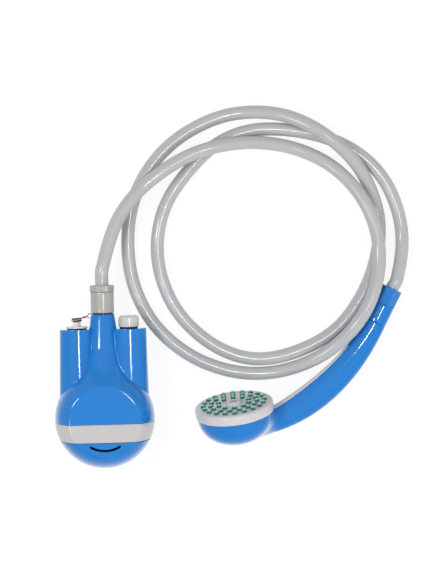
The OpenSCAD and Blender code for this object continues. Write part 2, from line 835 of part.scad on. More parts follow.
module battery_tray() {
    color(dark) pump_pose() translate([0, 0, tray_low]) linear_extrude(tray_t) difference() {
        union() {
            for (side = [-1, 1]) translate([side * tube_x, 0]) circle(tray_r);
            square([tube_spread, 2 * tray_bar], center = true);
        }
        at_bosses() circle(boss_r + gap);
    }
}

module cell(side) {
    translate([side * tube_x, 0, cell_low]) {
        cylinder(d = cell_d, h = cell_len);
        translate([0, 0, cell_len - sink]) cylinder(r = cell_cap_r, h = cell_cap_h + sink);
    }
}

module battery_cell_left() {
    color(teal) pump_pose() cell(-1);
}

module battery_cell_right() {
    color(teal) pump_pose() cell(1);
}

module circuit_board() {
    color(board_green) pump_pose()
        translate([-board_size.x / 2, board_y - board_size.y, deck_top]) cube(board_size);
}

module switch_body() {
    color(dark) pump_pose() translate([tube_x, 0, switch_low]) {
        translate([-switch_size.x / 2, -switch_size.y / 2, 0]) cube(switch_size);
        cylinder(r = stem_r, h = bushing_low - switch_low - gap / 2);
    }
}

module button_bushing() {
    flange_low = tube_top + button_gasket_t;
    color(dark) pump_pose() translate([tube_x, 0, 0]) difference() {
        union() {
            translate([0, 0, bushing_low]) cylinder(r = bushing_r, h = bushing_top - bushing_low);
            translate([0, 0, flange_low]) cylinder(r = bushing_flange_r, h = bushing_flange_t);
        }
        translate([0, 0, bushing_low - past])
            cylinder(r = stem_r + gap, h = bushing_top - bushing_low + 2 * past);
    }
}

module button_gasket() {
    color(dark) pump_pose() translate([tube_x, 0, 0])
        pipe(button_gasket_r, bushing_r + run_fit, tube_top, tube_top + button_gasket_t - run_fit);
}

module button_spring() {
    low = bushing_top + spring_wire / 2 + fit;
    high = button_top - button_cap_t - spring_wire / 2 - fit;
    count = spring_turns * curl_rings;
    path = [for (i = [0:count]) [
        spring_r * cos(360 * i / curl_rings),
        spring_r * sin(360 * i / curl_rings),
        mix(low, high, i / count)]];
    color(steel) pump_pose() translate([tube_x, 0, 0]) strand(path, spring_wire / 2, strand_sides);
}

// Half outline of a cup that is closed above, with a rounded shoulder
function shoulder(r, top, round_r) = [
    for (i = [0:round_steps])
        let (a = 90 * i / round_steps) [r - round_r + round_r * cos(a), top - round_r + round_r * sin(a)]];

module button_cap() {
    in_r = button_r - button_wall;
    color(grey) pump_pose() translate([tube_x, 0, 0]) {
        rotate_extrude() difference() {
            polygon(concat([[0, button_low], [button_r, button_low]],
                shoulder(button_r, button_top, button_round), [[0, button_top]]));
            translate([0, button_low - past])
                square([in_r, button_top - button_cap_t - button_low - button_round + past]);
            translate([0, button_low]) square([in_r - button_round, button_top - button_cap_t - button_low]);
        }
        translate([0, 0, bushing_low + button_travel])
            cylinder(r = stem_r, h = button_top - sink - bushing_low - button_travel);
    }
}

module panel_nuts() {
    color(steel) pump_pose() for (side = [-1, 1]) translate([side * tube_x, 0, panel_low - panel_nut_h])
        difference() {
            cylinder(d = panel_nut_af / cos(30), h = panel_nut_h, $fn = 6);
            translate([0, 0, -past]) cylinder(r = panel_hole_r, h = panel_nut_h + 2 * past);
        }
}

module charge_socket() {
    color(dark) pump_pose() translate([-tube_x, 0, 0]) {
        difference() {
            translate([0, 0, socket_low]) cylinder(r = bushing_r, h = tube_top - socket_low);
            translate([0, 0, socket_low + socket_floor]) cylinder(r = socket_in_r, h = tube_top - socket_low);
        }
        translate([0, 0, socket_low + socket_floor - sink]) cylinder(r = pin_r, h = pin_h + sink);
    }
}

module charge_plug() {
    color(white) pump_pose() translate([-tube_x, 0, 0]) difference() {
        union() {
            translate([0, 0, plug_flange_low]) cylinder(d = plug_d, h = plug_flange_t);
            translate([0, 0, plug_flange_low]) cylinder(r = post_r, h = post_top - plug_flange_low);
            translate([0, 0, tube_top - plug_stem_len])
                cylinder(r = plug_stem_r, h = plug_flange_low - tube_top + plug_stem_len + sink);
        }
        translate([0, 0, tube_top - plug_stem_len - past])
            cylinder(r = plug_stem_in_r, h = plug_stem_len + past);
    }
}

module plug_gasket() {
    color(dark) pump_pose() translate([-tube_x, 0, 0])
        pipe(plug_gasket_r, plug_stem_r + run_fit, tube_top + fit, plug_flange_low - run_fit);
}

// One strand: a tail, a turn round the post, and a twist with the other strand across to the neck
function tether_path(turn) =
    let (
        from = [-tube_x + tie_r, 0, tie_z],
        to = [-neck_top_d / 2 - neck_stand, 0, neck_tie_z],
        slant = unit(to - from).x,
        lift = twist_r * sin(turn),
        post = [for (i = [0:turn_rings - 1])
            let (a = -90 - 270 * i / turn_rings) [-tube_x + tie_r * cos(a), tie_r * sin(a), tie_z + lift]],
        span = [for (i = [0:span_rings])
            let (t = i / span_rings, a = turn + 360 * twist_turns * t)
            mix(from, to, t) + twist_r * [0, cos(a), sin(a) / slant]])
    concat([[-tube_x - tail_out, -tie_r, tie_z + lift]], post, span);

module tether_dark() {
    around = [for (i = [0:turn_rings])
        let (a = mix(180 + tie_open, 540 - tie_open, i / turn_rings))
        [neck_tie_r * cos(a), neck_tie_r * sin(a), neck_tie_z]];
    color(dark) pump_pose() strand(concat(tether_path(90), around), strand_r, strand_sides);
}

module tether_red() {
    color(red) pump_pose() strand(tether_path(270), strand_r, strand_sides);
}

module outlet_washer() {
    low = neck_top + thread_h;
    color(dark) pump_pose() pipe(thread_r - gap, spigot_bore_r, low, low + washer_t - run_fit);
}

// Tapered rings that hold the bore of the hose
module barb(from) {
    translate([0, 0, from]) cylinder(r = barb_r, h = barb_len);
    for (i = [0:2]) translate([0, 0, from + sink + i * (barb_ring_h + sink / 2)])
        cylinder(r1 = barb_tip_r, r2 = barb_r, h = barb_ring_h);
}

module hose_barb() {
    flange_low = hose_start - barb_flange_t;
    color(brass) pump_pose() difference() {
        union() {
            translate([0, 0, flange_low]) cylinder(r = thread_r - gap, h = barb_flange_t);
            translate([0, 0, flange_low - washer_t - stem_seat + gap])
                cylinder(r = spigot_bore_r - fit, h = stem_seat + washer_t + sink - gap);
            barb(hose_start - sink / 2);
        }
        translate([0, 0, flange_low - room / 2]) cylinder(r = barb_bore_r, h = room);
    }
}

module grip(low) {
    difference() {
        pipe(grip_r, grip_in_r, low, low + grip_h);
        translate([0, -grip_slit / 2, low - past]) cube([2 * grip_r, grip_slit, grip_h + 2 * past]);
    }
}

module grip_ring() {
    color(white) pump_pose() grip(hose_start + gap);
}

module hose_nut() {
    color(collar_grey) pump_pose() difference() {
        union() {
            translate([0, 0, nut_low]) cylinder(d = hose_nut_d, h = hose_nut_len - hose_nut_hex_h / 2);
            translate([0, 0, nut_top - hose_nut_hex_h]) linear_extrude(hose_nut_hex_h) intersection() {
                circle(d = hose_nut_hex / cos(30), $fn = 6);
                circle(hex_round_r);
            }
        }
        translate([0, 0, nut_low - past]) cylinder(r = nut_bore_r, h = hose_nut_len - nut_roof + past);
        translate([0, 0, nut_low]) cylinder(r = hose_hole_r, h = hose_nut_len + past);
    }
}

// The whole way of the hose, from the barb in the neck to the barb in the handle
hose_route = concat(
    [for (i = [0:hose_straights])
        pump_point([0, 0, mix(hose_start, nut_top + hose_lead, i / hose_straights)])],
    hose_points,
    [for (i = [0:hose_straights])
        head_point(seam_point(mix(handle_nut_len + hose_lead, handle_hose_start, i / hose_straights)))]);

// Least distance between stretches of the hose that pass each other
function least_pass(p, skip) = min([
    for (i = [0:len(p) - 1 - skip], k = [i + skip:len(p) - 1]) norm(p[i] - p[k])]);

module hose() {
    fine = curve(hose_route, gap_steps);
    echo(hose_length = sum_length(fine), hose_gap_to_itself = least_pass(fine, gap_skip) - 2 * hose_out_r);
    color(hose_grey) tube_along(curve(hose_route, hose_steps), hose_out_r, hose_in_r, hose_sides);
}

function sum_length(p) = [for (i = [1:len(p) - 1]) norm(p[i] - p[i - 1])] * [for (i = [1:len(p) - 1]) 1];

// Section of the handle at an angle of its bend
function handle_section(a) = [
    for (k = [0:handle_sides - 1])
        let (b = 360 * k / handle_sides)
        axis_point(a) + handle_w(a) * cos(b) * axis_out(a) - handle_th(a) * sin(b) * [0, 1, 0]];

// Section of the strip: a band let into the inner edge of the handle
function strip_section(a, grow) =
    let (
        low = handle_w(a) - strip_seat - grow, high = handle_w(a) + strip_h,
        half = strip_w / 2 + grow, mid = axis_point(a), out = axis_out(a))
    [for (c = [[low, -1], [high, -1], [high, 1], [low, 1]]) mid - c[0] * out + c[1] * half * [0, 1, 0]];

module strip_loft(from, to, grow) {
    loft([for (i = [0:strip_rings]) strip_section(mix(from, to, i / strip_rings), grow)]);
}

module head_shell() {
    color(blue) head_pose() difference() {
        union() {
            intersection() {
                translate([0, 0, bowl_z]) sphere(bowl_r);
                slab(-room, -bezel_h - run_fit);
            }
            translate([0, 0, -bezel_h - sink]) cylinder(r = upstand_r, h = bezel_h + sink + upstand_top);
            loft([for (i = [0:handle_rings])
                handle_section(mix(handle_root, handle_seam, i / handle_rings))]);
        }
        difference() {
            intersection() {
                translate([0, 0, bowl_z]) sphere(bowl_r - wall);
                translate([0, 0, -room]) cylinder(r = chamber_r, h = room + past);
            }
            translate([0, 0, -room]) cylinder(r = post_in_r, h = room + mat_top);
        }
        translate([0, 0, mat_top - face_screw_len])
            cylinder(r = face_screw_r + run_fit, h = face_screw_len + past);
        translate([handle_c.x, 0, handle_c.y]) rotate([90, 0, 0]) rotate([0, 0, handle_from])
            rotate_extrude(angle = duct_to - handle_from) translate([handle_bend_r, 0]) circle(duct_r);
        seam_pose() translate([0, 0, -tail_plug_len - gap])
            cylinder(r = tail_plug_r + run_fit, h = tail_plug_len + past);
        strip_loft(strip_from - fit, strip_to + fit, run_fit);
    }
}

module at_nubs() {
    for (i = [0:len(nub_counts) - 1], k = [0:nub_counts[i] - 1])
        rotate([0, 0, 360 * k / nub_counts[i]]) translate([nub_ring_r(i), 0, 0]) children();
}

module face_plate() {
    color(grey) head_pose() difference() {
        rotate_extrude() difference() {
            polygon(concat([[0, -bezel_h], [head_r, -bezel_h]], shoulder(head_r, 0, bezel_round), [[0, 0]]));
            translate([0, -bezel_h - past]) square([bezel_in_r, bezel_h + past - face_t]);
        }
        at_nubs() translate([0, 0, -face_t - past]) cylinder(r = nub_hole_r, h = face_t + 2 * past, $fn = 24);
        translate([0, 0, -face_dimple_h]) cylinder(r = face_dimple_r, h = past);
        translate([0, 0, -face_t - past]) cylinder(r = face_screw_r + fit, h = face_t + past);
    }
}

module nozzle_mat() {
    color(teal) head_pose() {
        difference() {
            translate([0, 0, mat_top - mat_t]) cylinder(r = mat_r, h = mat_t);
            translate([0, 0, mat_top - mat_t - past]) cylinder(r = post_in_r + gap, h = mat_t + 2 * past);
            at_nubs() translate([0, 0, mat_top - mat_t - past])
                cylinder(r = nub_bore_r, h = mat_t + 2 * past, $fn = 16);
        }
        at_nubs() rotate_extrude($fn = 24) polygon([
            [nub_bore_r, mat_top - mat_t / 2], [nub_r, mat_top - mat_t / 2], [nub_r, nub_h / 8],
            [nub_tip_r, nub_h - nub_tip_r / 2], [nub_bore_r, nub_h]]);
    }
}

module face_seal() {
    color(dark) head_pose() translate([0, 0, upstand_top + seal_ring_r + fit]) rotate_extrude()
        translate([(upstand_r + chamber_r) / 2, 0]) circle(seal_ring_r, $fn = 24);
}

module face_screw() {
    color(steel) head_pose() {
        translate([0, 0, -face_dimple_h]) cylinder(r = face_screw_head_r, h = face_screw_head_h);
        translate([0, 0, mat_top - face_screw_len + gap])
            cylinder(r = face_screw_r, h = face_screw_len - mat_top - gap);
    }
}

module handle_strip() {
    color(grey) head_pose() strip_loft(strip_from, strip_to, 0);
}

module handle_tail() {
    color(brass) head_pose() seam_pose() difference() {
        union() {
            translate([0, 0, -tail_plug_len]) cylinder(r = tail_plug_r, h = tail_plug_len + sink);
            translate([0, 0, run_fit]) cylinder(r = thread_r, h = tail_thread_h - run_fit);
            barb(tail_thread_h - sink / 2 + washer_t);
            translate([0, 0, tail_thread_h - sink]) cylinder(r = barb_r, h = washer_t + 2 * sink);
        }
        translate([0, 0, -room / 2]) cylinder(r = barb_bore_r, h = room);
    }
}

module handle_washer() {
    color(dark) head_pose() seam_pose()
        pipe(thread_r - gap, barb_r + fit, tail_thread_h + run_fit, handle_hose_start - run_fit);
}

module handle_grip_ring() {
    color(white) head_pose() seam_pose() grip(handle_hose_start + gap);
}

module handle_nut() {
    hex_low = handle_nut_len - handle_nut_hex_h;
    color(blue) head_pose() seam_pose() difference() {
        union() {
            translate([0, 0, handle_nut_low]) cylinder(d = handle_nut_d, h = hex_low - handle_nut_low);
            translate([0, 0, hex_low - sink]) linear_extrude(handle_nut_hex_h + sink) intersection() {
                circle(d = handle_nut_hex / cos(30), $fn = 6);
                circle(d = handle_nut_d - fit);
            }
        }
        translate([0, 0, handle_nut_low - past])
            cylinder(r = nut_bore_r, h = handle_nut_len - handle_nut_roof - handle_nut_low + past);
        cylinder(r = hose_hole_r, h = handle_nut_len + past);
    }
}

upper_housing();
band_ring();
intake_dome();
strainer();
motor_deck();
deck_gasket();
deck_screws();
pump_volute();
impeller();
motor_shaft();
shaft_seal();
motor_can();
motor_bell();
outlet_pipe();
battery_tray();
battery_cell_left();
battery_cell_right();
circuit_board();
switch_body();
button_bushing();
button_gasket();
button_spring();
button_cap();
panel_nuts();
charge_socket();
charge_plug();
plug_gasket();
tether_dark();
tether_red();
outlet_washer();
hose_barb();
grip_ring();
hose_nut();
hose();
head_shell();
face_plate();
nozzle_mat();
face_seal();
face_screw();
handle_strip();
handle_tail();
handle_washer();
handle_grip_ring();
handle_nut();
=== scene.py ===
"""Camp shower pump: the look of every piece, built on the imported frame."""

import logging
import math
from collections.abc import Callable, Sequence
from dataclasses import dataclass
from enum import Enum
from functools import partial

import bmesh
import bpy
import numpy as np
from mathutils import Matrix, Vector


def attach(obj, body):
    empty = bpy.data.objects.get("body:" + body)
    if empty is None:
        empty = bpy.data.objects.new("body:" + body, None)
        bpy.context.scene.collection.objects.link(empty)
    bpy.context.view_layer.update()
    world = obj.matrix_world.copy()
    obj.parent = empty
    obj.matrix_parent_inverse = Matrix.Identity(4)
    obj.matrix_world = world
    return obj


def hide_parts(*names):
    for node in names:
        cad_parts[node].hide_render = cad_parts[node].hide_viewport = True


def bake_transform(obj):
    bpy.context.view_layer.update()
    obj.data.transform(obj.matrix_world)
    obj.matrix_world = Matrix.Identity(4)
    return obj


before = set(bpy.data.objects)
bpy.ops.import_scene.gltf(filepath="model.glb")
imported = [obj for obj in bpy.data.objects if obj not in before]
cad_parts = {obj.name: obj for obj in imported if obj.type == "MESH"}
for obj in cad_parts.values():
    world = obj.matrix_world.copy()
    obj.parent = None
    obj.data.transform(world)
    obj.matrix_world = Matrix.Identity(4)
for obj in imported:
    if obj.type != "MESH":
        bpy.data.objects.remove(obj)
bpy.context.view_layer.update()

LOG = logging.getLogger("camp_shower_pump")
MM = 0.001
Array = np.ndarray
Distance = Callable[[Array], Array]
Corner = tuple[float, float, float]
Colour = tuple[int, int, int]

# Points of a piece that lie closer than this become one, and thinner faces go, in metres.
WELD, SLIVER = 3e-6, 1e-7
# A fillet's ends sink under the surface by this much at least, and by this share of its reach.
SINK, SINK_SHARE = 0.02, 0.006
# A fillet's columns, how far its cubic's handles reach, and how deep its back lies.
FILLET_STEPS, FILLET_PULL, FILLET_UNDER = 13, 0.62, 0.7
# Halvings of a search, and steps of a curve from one of its points to the next.
HALVINGS, CURVE_STEPS = 40, 40
# Waves to a metre of the clouds in a colour and of the patches in its gloss, and the grain's depth.
CLOUD_WAVES, PATCH_WAVES, GRAIN_DEPTH = 55.0, 320.0, 0.0004
# The clear coat begins at this turn from the eye and is whole this much further on.
COAT_FROM, COAT_SPAN, COAT_ROUGH = 0.4, 0.3, 0.08


class Body(Enum):
    """The bodies of the frame that pieces ride on."""

    PUMP = "pump_and_shower"
    BUTTON = "button"
    PLUG = "plug"
    DOME = "dome"
    PUMP_NUT = "pump_nut"
    SHOWER_NUT = "shower_nut"


def unit(vectors: Array) -> Array:
    """Vectors divided by their own length, along the last axis."""
    return vectors / np.maximum(np.linalg.norm(vectors, axis=-1, keepdims=True), 1e-12)


def mix(a: Array | float, b: Array | float, share: Array | float) -> Array | float:
    """The value that lies the share of the way from a to b."""
    return a + (b - a) * share


def angles(count: int) -> Array:
    """Even angles of one full turn, in radians."""
    return np.arange(count) * 2 * math.pi / count


def about_axis(
    radius: Array | float, angle: Array, height: Array | float, at: Sequence[float] = (0.0, 0.0)
) -> Array:
    """Points about an upright axis: radius times cosine, radius times sine, and height.

    Args:
        radius: Distances from the axis.
        angle: Angles round it, in radians.
        height: Heights on it.
        at: Where the axis stands.

    Returns:
        The points, in the shape that the three spread to, by three.
    """
    parts = (at[0] + radius * np.cos(angle), at[1] + radius * np.sin(angle), height)
    return np.stack(np.broadcast_arrays(*parts), -1)


def turn_about(axis: str, degrees: float) -> Array:
    """A turn about one axis, as a matrix for columns."""
    return np.array(Matrix.Rotation(math.radians(degrees), 3, axis))


@dataclass(frozen=True)
class Place:
    """A frame in which pieces are drawn, in millimetres.

    Attributes:
        origin: Where the frame's zero lies in the row frame.
        axes: Its three axes in the row frame, one to a row.
    """

    origin: tuple[float, ...]
    axes: tuple[tuple[float, ...], ...]

    def carry(self, points: Array) -> Array:
        """Points of this frame in the row frame: the origin plus each coordinate times its axis."""
        return np.asarray(self.origin) + np.asarray(points, float) @ np.asarray(self.axes)

    def within(self, origin: Array, turn: Array) -> "Place":
        """A frame that lies in this one.

        Args:
            origin: Its zero, in this frame.
            turn: Its turn, as a matrix for columns.

        Returns:
            The same frame, measured in the row frame.
        """
        axes = np.asarray(turn).T @ np.asarray(self.axes)
        return Place(tuple(self.carry(origin)), tuple(map(tuple, axes)))


WORLD = Place((0.0, 0.0, 0.0), ((1.0, 0.0, 0.0), (0.0, 1.0, 0.0), (0.0, 0.0, 1.0)))
PUMP = Place((0.0, 0.0, 33.4), ((1.0, 0.0, 0.0), (0.0, 0.0, -1.0), (0.0, 1.0, 0.0)))
HEAD = WORLD.within(
    np.array([122.5, 11.2, 38.56]),
    turn_about("Z", 7.3) @ turn_about("X", -77.5) @ turn_about("Z", 14.7),
)


def outline(corners: Sequence[Corner], most: float = 99.0, steps: int = 6) -> Array:
    """A line through corners that are rounded off.

    Each corner is replaced with an arc that touches both of its sides: the arc's ends lie at the
    radius over the tangent of half the corner's angle, and the points between are turned evenly.

    Args:
        corners: Two coordinates and the rounding radius of each corner, in order.
        most: The longest step on a straight stretch.
        steps: The steps of each arc.

    Returns:
        The points of the line, one to a row.
    """
    spots = np.array([c[:2] for c in corners], float)
    ends: list[Array] = []
    for here, (_, _, radius) in enumerate(corners):
        if radius <= 0 or here in (0, len(corners) - 1):
            ends.append(spots[here : here + 1])
            continue
        back = unit(spots[here - 1] - spots[here])
        ahead = unit(spots[here + 1] - spots[here])
        half = math.acos(np.clip(back @ ahead, -1, 1)) / 2
        centre = spots[here] + unit(back + ahead) * radius / math.sin(half)
        first = spots[here] + back * radius / math.tan(half) - centre
        last = spots[here] + ahead * radius / math.tan(half) - centre
        sweep = math.pi - 2 * half
        share = np.linspace(0, 1, steps + 1)[:, None]
        turned = first * np.sin((1 - share) * sweep) + last * np.sin(share * sweep)
        ends.append(centre + turned / math.sin(sweep))
    runs: list[Array] = []
    for one, two in zip(ends[:-1], ends[1:]):
        count = max(1, math.ceil(float(np.linalg.norm(two[0] - one[-1])) / most))
        share = np.linspace(0, 1, count + 1)[1:-1, None]
        runs += [one, mix(one[-1], two[0], share)]
    return np.concatenate([*runs, ends[-1]])


class Skin:
    """The patches of one piece, gathered as arrays before they become a mesh."""

    def __init__(self) -> None:
        """Starts with no patch."""
        self.points: list[Array] = []
        self.faces: list[Array] = []
        self.count = 0

    def grid(self, points: Array, wrap: bool = True, loop: bool = False) -> "Skin":
        """Adds a grid of points as a patch of four-sided faces.

        Args:
            points: Rows by columns by three.
            wrap: Joins the last column to the first.
            loop: Joins the last row to the first.

        Returns:
            This skin.
        """
        rows, cols = points.shape[:2]
        index = np.arange(rows * cols).reshape(rows, cols) + self.count
        index = np.concatenate([index, index[:, :1]], 1) if wrap else index
        index = np.concatenate([index, index[:1]], 0) if loop else index
        quads = np.stack([index[:-1, :-1], index[:-1, 1:], index[1:, 1:], index[1:, :-1]], -1)
        self.points.append(points.reshape(-1, 3))
        self.faces.append(quads.reshape(-1, 4))
        self.count += rows * cols
        return self

    def spin(
        self, profile: Array, sides: int = 96, at: Sequence[float] = (0.0, 0.0), loop: bool = False
    ) -> "Skin":
        """Adds a profile turned about an upright axis.

        Args:
            profile: Radius and height of each point.
            sides: Columns round the axis.
            at: Where the axis stands.
            loop: Joins the profile's last point to its first.

        Returns:
            This skin.
        """
        return self.grid(about_axis(profile[:, :1], angles(sides), profile[:, 1:2], at), loop=loop)

    def tube(self, rings: Array) -> "Skin":
        """Adds closed rings along a path, with the middle of each end as a last ring that shuts it."""
        first = np.repeat(rings[:1].mean(1, keepdims=True), rings.shape[1], 1)
        last = np.repeat(rings[-1:].mean(1, keepdims=True), rings.shape[1], 1)
        return self.grid(np.concatenate([first, rings, last]))

    def mesh(self, name: str, place: Place, sharp: float) -> bpy.types.Object:
        """Makes the object: points carried to the row frame, seams and poles welded, faces outward.

        Args:
            name: The object's name.
            place: The frame that the points are drawn in.
            sharp: Edges bent by more than these degrees stay crisp.

        Returns:
            The new object, linked to the scene.
        """
        points = place.carry(np.concatenate(self.points)) * MM
        data = bpy.data.meshes.new(name)
        data.from_pydata(points.tolist(), [], np.concatenate(self.faces).tolist())
        work = bmesh.new()
        work.from_mesh(data)
        bmesh.ops.remove_doubles(work, verts=work.verts, dist=WELD)
        bmesh.ops.dissolve_degenerate(work, edges=work.edges, dist=SLIVER)
        bmesh.ops.recalc_face_normals(work, faces=work.faces)
        work.to_mesh(data)
        work.free()
        data.shade_smooth()
        data.set_sharp_from_angle(angle=math.radians(sharp))
        thing = bpy.data.objects.new(name, data)
        bpy.context.scene.collection.objects.link(thing)
        return thing


def slope(distance: Distance, points: Array, step: float = 1e-3) -> Array:
    """The outward direction of a surface at points: the slope of its distance, by differences."""
    shifts = np.eye(3) * step
    change = [distance(points + shift) - distance(points - shift) for shift in shifts]
    return unit(np.stack(change, -1))


def walk(
    distance: Distance, points: Array, way: Array, reach: Array | float, steps: int = 8
) -> tuple[Array, Array]:
    """Walks along a surface: short straight steps, each set back on the surface and turned to lie in it.

    Args:
        distance: Signed distance from the surface.
        points: Where the walks start.
        way: The direction of each.
        reach: The length of each.
        steps: How many steps it takes.

    Returns:
        Where the walks end, a little under the surface, and their directions there.
    """
    for _ in range(steps):
        points = points + way * reach / steps
        out = slope(distance, points)
        points = points - distance(points)[..., None] * out
        way = unit(way - (way * out).sum(-1, keepdims=True) * out)
    return points - np.maximum(SINK, SINK_SHARE * reach) * out, way


def fillet(line: Array, first: Distance, second: Distance, reach: Array | float, closed: bool) -> Array:
    """A strip that rounds the inner corner where two surfaces meet.

    From each point of the corner's line a walk goes the reach along either surface, starting square to
    the line. A cubic joins the two ends and leaves each along its surface, and one point under the
    corner shuts the strip.

    Args:
        line: The points of the corner, in order.
        first: Signed distance from the first surface.
        second: Signed distance from the second surface.
        reach: How far the strip goes along each surface.
        closed: Whether the line runs back into itself.

    Returns:
        The strip: points of the line by points across by three.
    """
    if closed:
        along = np.roll(line, -1, 0) - np.roll(line, 1, 0)
    else:
        along = np.gradient(line, axis=0)
    out_1, out_2 = slope(first, line), slope(second, line)
    way_1, way_2 = unit(np.cross(along, out_1)), unit(np.cross(along, out_2))
    way_1 = way_1 * np.where((way_1 * out_2).sum(-1, keepdims=True) < 0, -1, 1)
    way_2 = way_2 * np.where((way_2 * out_1).sum(-1, keepdims=True) < 0, -1, 1)
    end_1, way_1 = walk(first, line, way_1, reach)
    end_2, way_2 = walk(second, line, way_2, reach)
    near_1, near_2 = end_1 - way_1 * reach * FILLET_PULL, end_2 - way_2 * reach * FILLET_PULL
    t = np.linspace(0, 1, FILLET_STEPS)[None, :, None]
    ends = (1 - t) ** 3 * end_1[:, None] + t**3 * end_2[:, None]
    arc = ends + 3 * (1 - t) ** 2 * t * near_1[:, None] + 3 * (1 - t) * t**2 * near_2[:, None]
    under = line - FILLET_UNDER * unit(out_1 + out_2)
    return np.concatenate([arc, under[:, None]], 1)


def settle(inside: Callable[[Array], Array], low: Array, high: Array) -> Array:
    """Where a test turns from true at low to false at high, by halving the span again and again."""
    for _ in range(HALVINGS):
        middle = (low + high) / 2
        test = inside(middle)
        low, high = np.where(test, middle, low), np.where(test, high, middle)
    return (low + high) / 2


def smooth_line(points: Array, step: float, spread: float, straight: float) -> Array:
    """An even line along points, eased so that its bend changes gently.

    A cubic through the points is measured and cut at even steps, and each point is then averaged with
    its neighbours by a bell curve. Within the straight stretch at either end nothing moves.

    Args:
        points: The points to pass, in order.
        step: The length of each step.
        spread: The bell curve's width.
        straight: How much of each end is kept as it is.

    Returns:
        The points of the eased line.
    """
    ends = np.concatenate([2 * points[:1] - points[1:2], points, 2 * points[-1:] - points[-2:-1]])
    a, b, c, d = ends[:-3, None], ends[1:-2, None], ends[2:-1, None], ends[3:, None]
    t = np.linspace(0, 1, CURVE_STEPS, endpoint=False)[None, :, None]
    curve = 0.5 * (2 * b + (c - a) * t + (2 * a - 5 * b + 4 * c - d) * t**2 + (3 * b - a - 3 * c + d) * t**3)
    curve = np.concatenate([curve.reshape(-1, 3), points[-1:]])
    run = np.concatenate([[0], np.cumsum(np.linalg.norm(np.diff(curve, axis=0), axis=1))])
    marks = np.linspace(0, run[-1], round(run[-1] / step) + 1)
    even = np.stack([np.interp(marks, run, axis) for axis in curve.T], -1)
    width = math.ceil(3 * spread / step)
    bell = np.exp(-0.5 * (np.arange(-width, width + 1) * step / spread) ** 2)
    padded = np.pad(even, ((width, width), (0, 0)), mode="reflect", reflect_type="odd")
    eased = np.stack([np.convolve(axis, bell / bell.sum(), "valid") for axis in padded.T], -1)
    hold = np.clip((np.minimum(marks, run[-1] - marks) - straight) / (3 * spread), 0, 1)[:, None]
    return mix(even, eased, hold * hold * (3 - 2 * hold))


def rings_along(path: Array, radius: float, sides: int) -> Array:
    """Rings square to a path: the radius times cosine and sine of two axes across it.

    One axis is level and square to the path and the other is square to both, so the tube doesn't wring.

    Args:
        path: The points of the centre line, nowhere upright.
        radius: The tube's radius.
        sides: Points round a ring.

    Returns:
        Points of the path by sides by three.
    """
    way = unit(np.gradient(path, axis=0))
    level = unit(np.cross(way, [0.0, 0.0, 1.0]))
    other = np.cross(level, way)
    angle = angles(sides)[None, :, None]
    return path[:, None] + radius * (np.cos(angle) * level[:, None] + np.sin(angle) * other[:, None])


def maths(kind: str, flipped: bool = False) -> Callable[..., "Value"]:
    """A method that joins a value to another in a Math node.

    Args:
        kind: The node's operation.
        flipped: Puts the other one first, for a number on the left.

    Returns:
        The method.
    """

    def method(self: "Value", other: "Value | float" = 0.0) -> "Value":
        """The node's result."""
        made = self.tree.nodes.new("ShaderNodeMath")
        made.operation = kind
        for socket, value in zip(made.inputs, (other, self) if flipped else (self, other)):
            feed(self.tree, socket, value)
        return Value(self.tree, made.outputs[0])

    return method


class Value:
    """A shader socket that takes part in sums like a number."""

    def __init__(self, tree: bpy.types.NodeTree, socket: bpy.types.NodeSocket) -> None:
        """Keeps the socket and the tree that it is in."""
        self.tree = tree
        self.socket = socket

    __add__, __radd__ = maths("ADD"), maths("ADD", flipped=True)
    __sub__, __rsub__ = maths("SUBTRACT"), maths("SUBTRACT", flipped=True)
    __mul__, __rmul__ = maths("MULTIPLY"), maths("MULTIPLY", flipped=True)
    __truediv__, __pow__ = maths("DIVIDE"), maths("POWER")
    at_least, at_most, sine = maths("MAXIMUM"), maths("MINIMUM"), maths("SINE")

    def clamp(self) -> "Value":
        """The value, held between nought and one."""
        return self.at_least(0.0).at_most(1.0)


def feed(tree: bpy.types.NodeTree, socket: bpy.types.NodeSocket, value: Value | float | tuple) -> None:
    """Gives a socket a link to a value, or a plain number or colour."""
    if isinstance(value, Value):
        tree.links.new(value.socket, socket)
    else:
        socket.default_value = value


def linear(colour: Colour) -> tuple[float, float, float, float]:
    """A colour written in 0 to 255, as light: the display's curve undone."""
    share = np.array(colour) / 255
    light = np.where(share <= 0.04045, share / 12.92, ((share + 0.055) / 1.055) ** 2.4)
    return (*light.tolist(), 1.0)


def brighter(colour: Colour, times: float) -> tuple[float, ...]:
    """A colour as light, so many times as bright and no brighter than white."""
    return (*np.minimum(np.array(linear(colour)[:3]) * times, 1), 1.0)


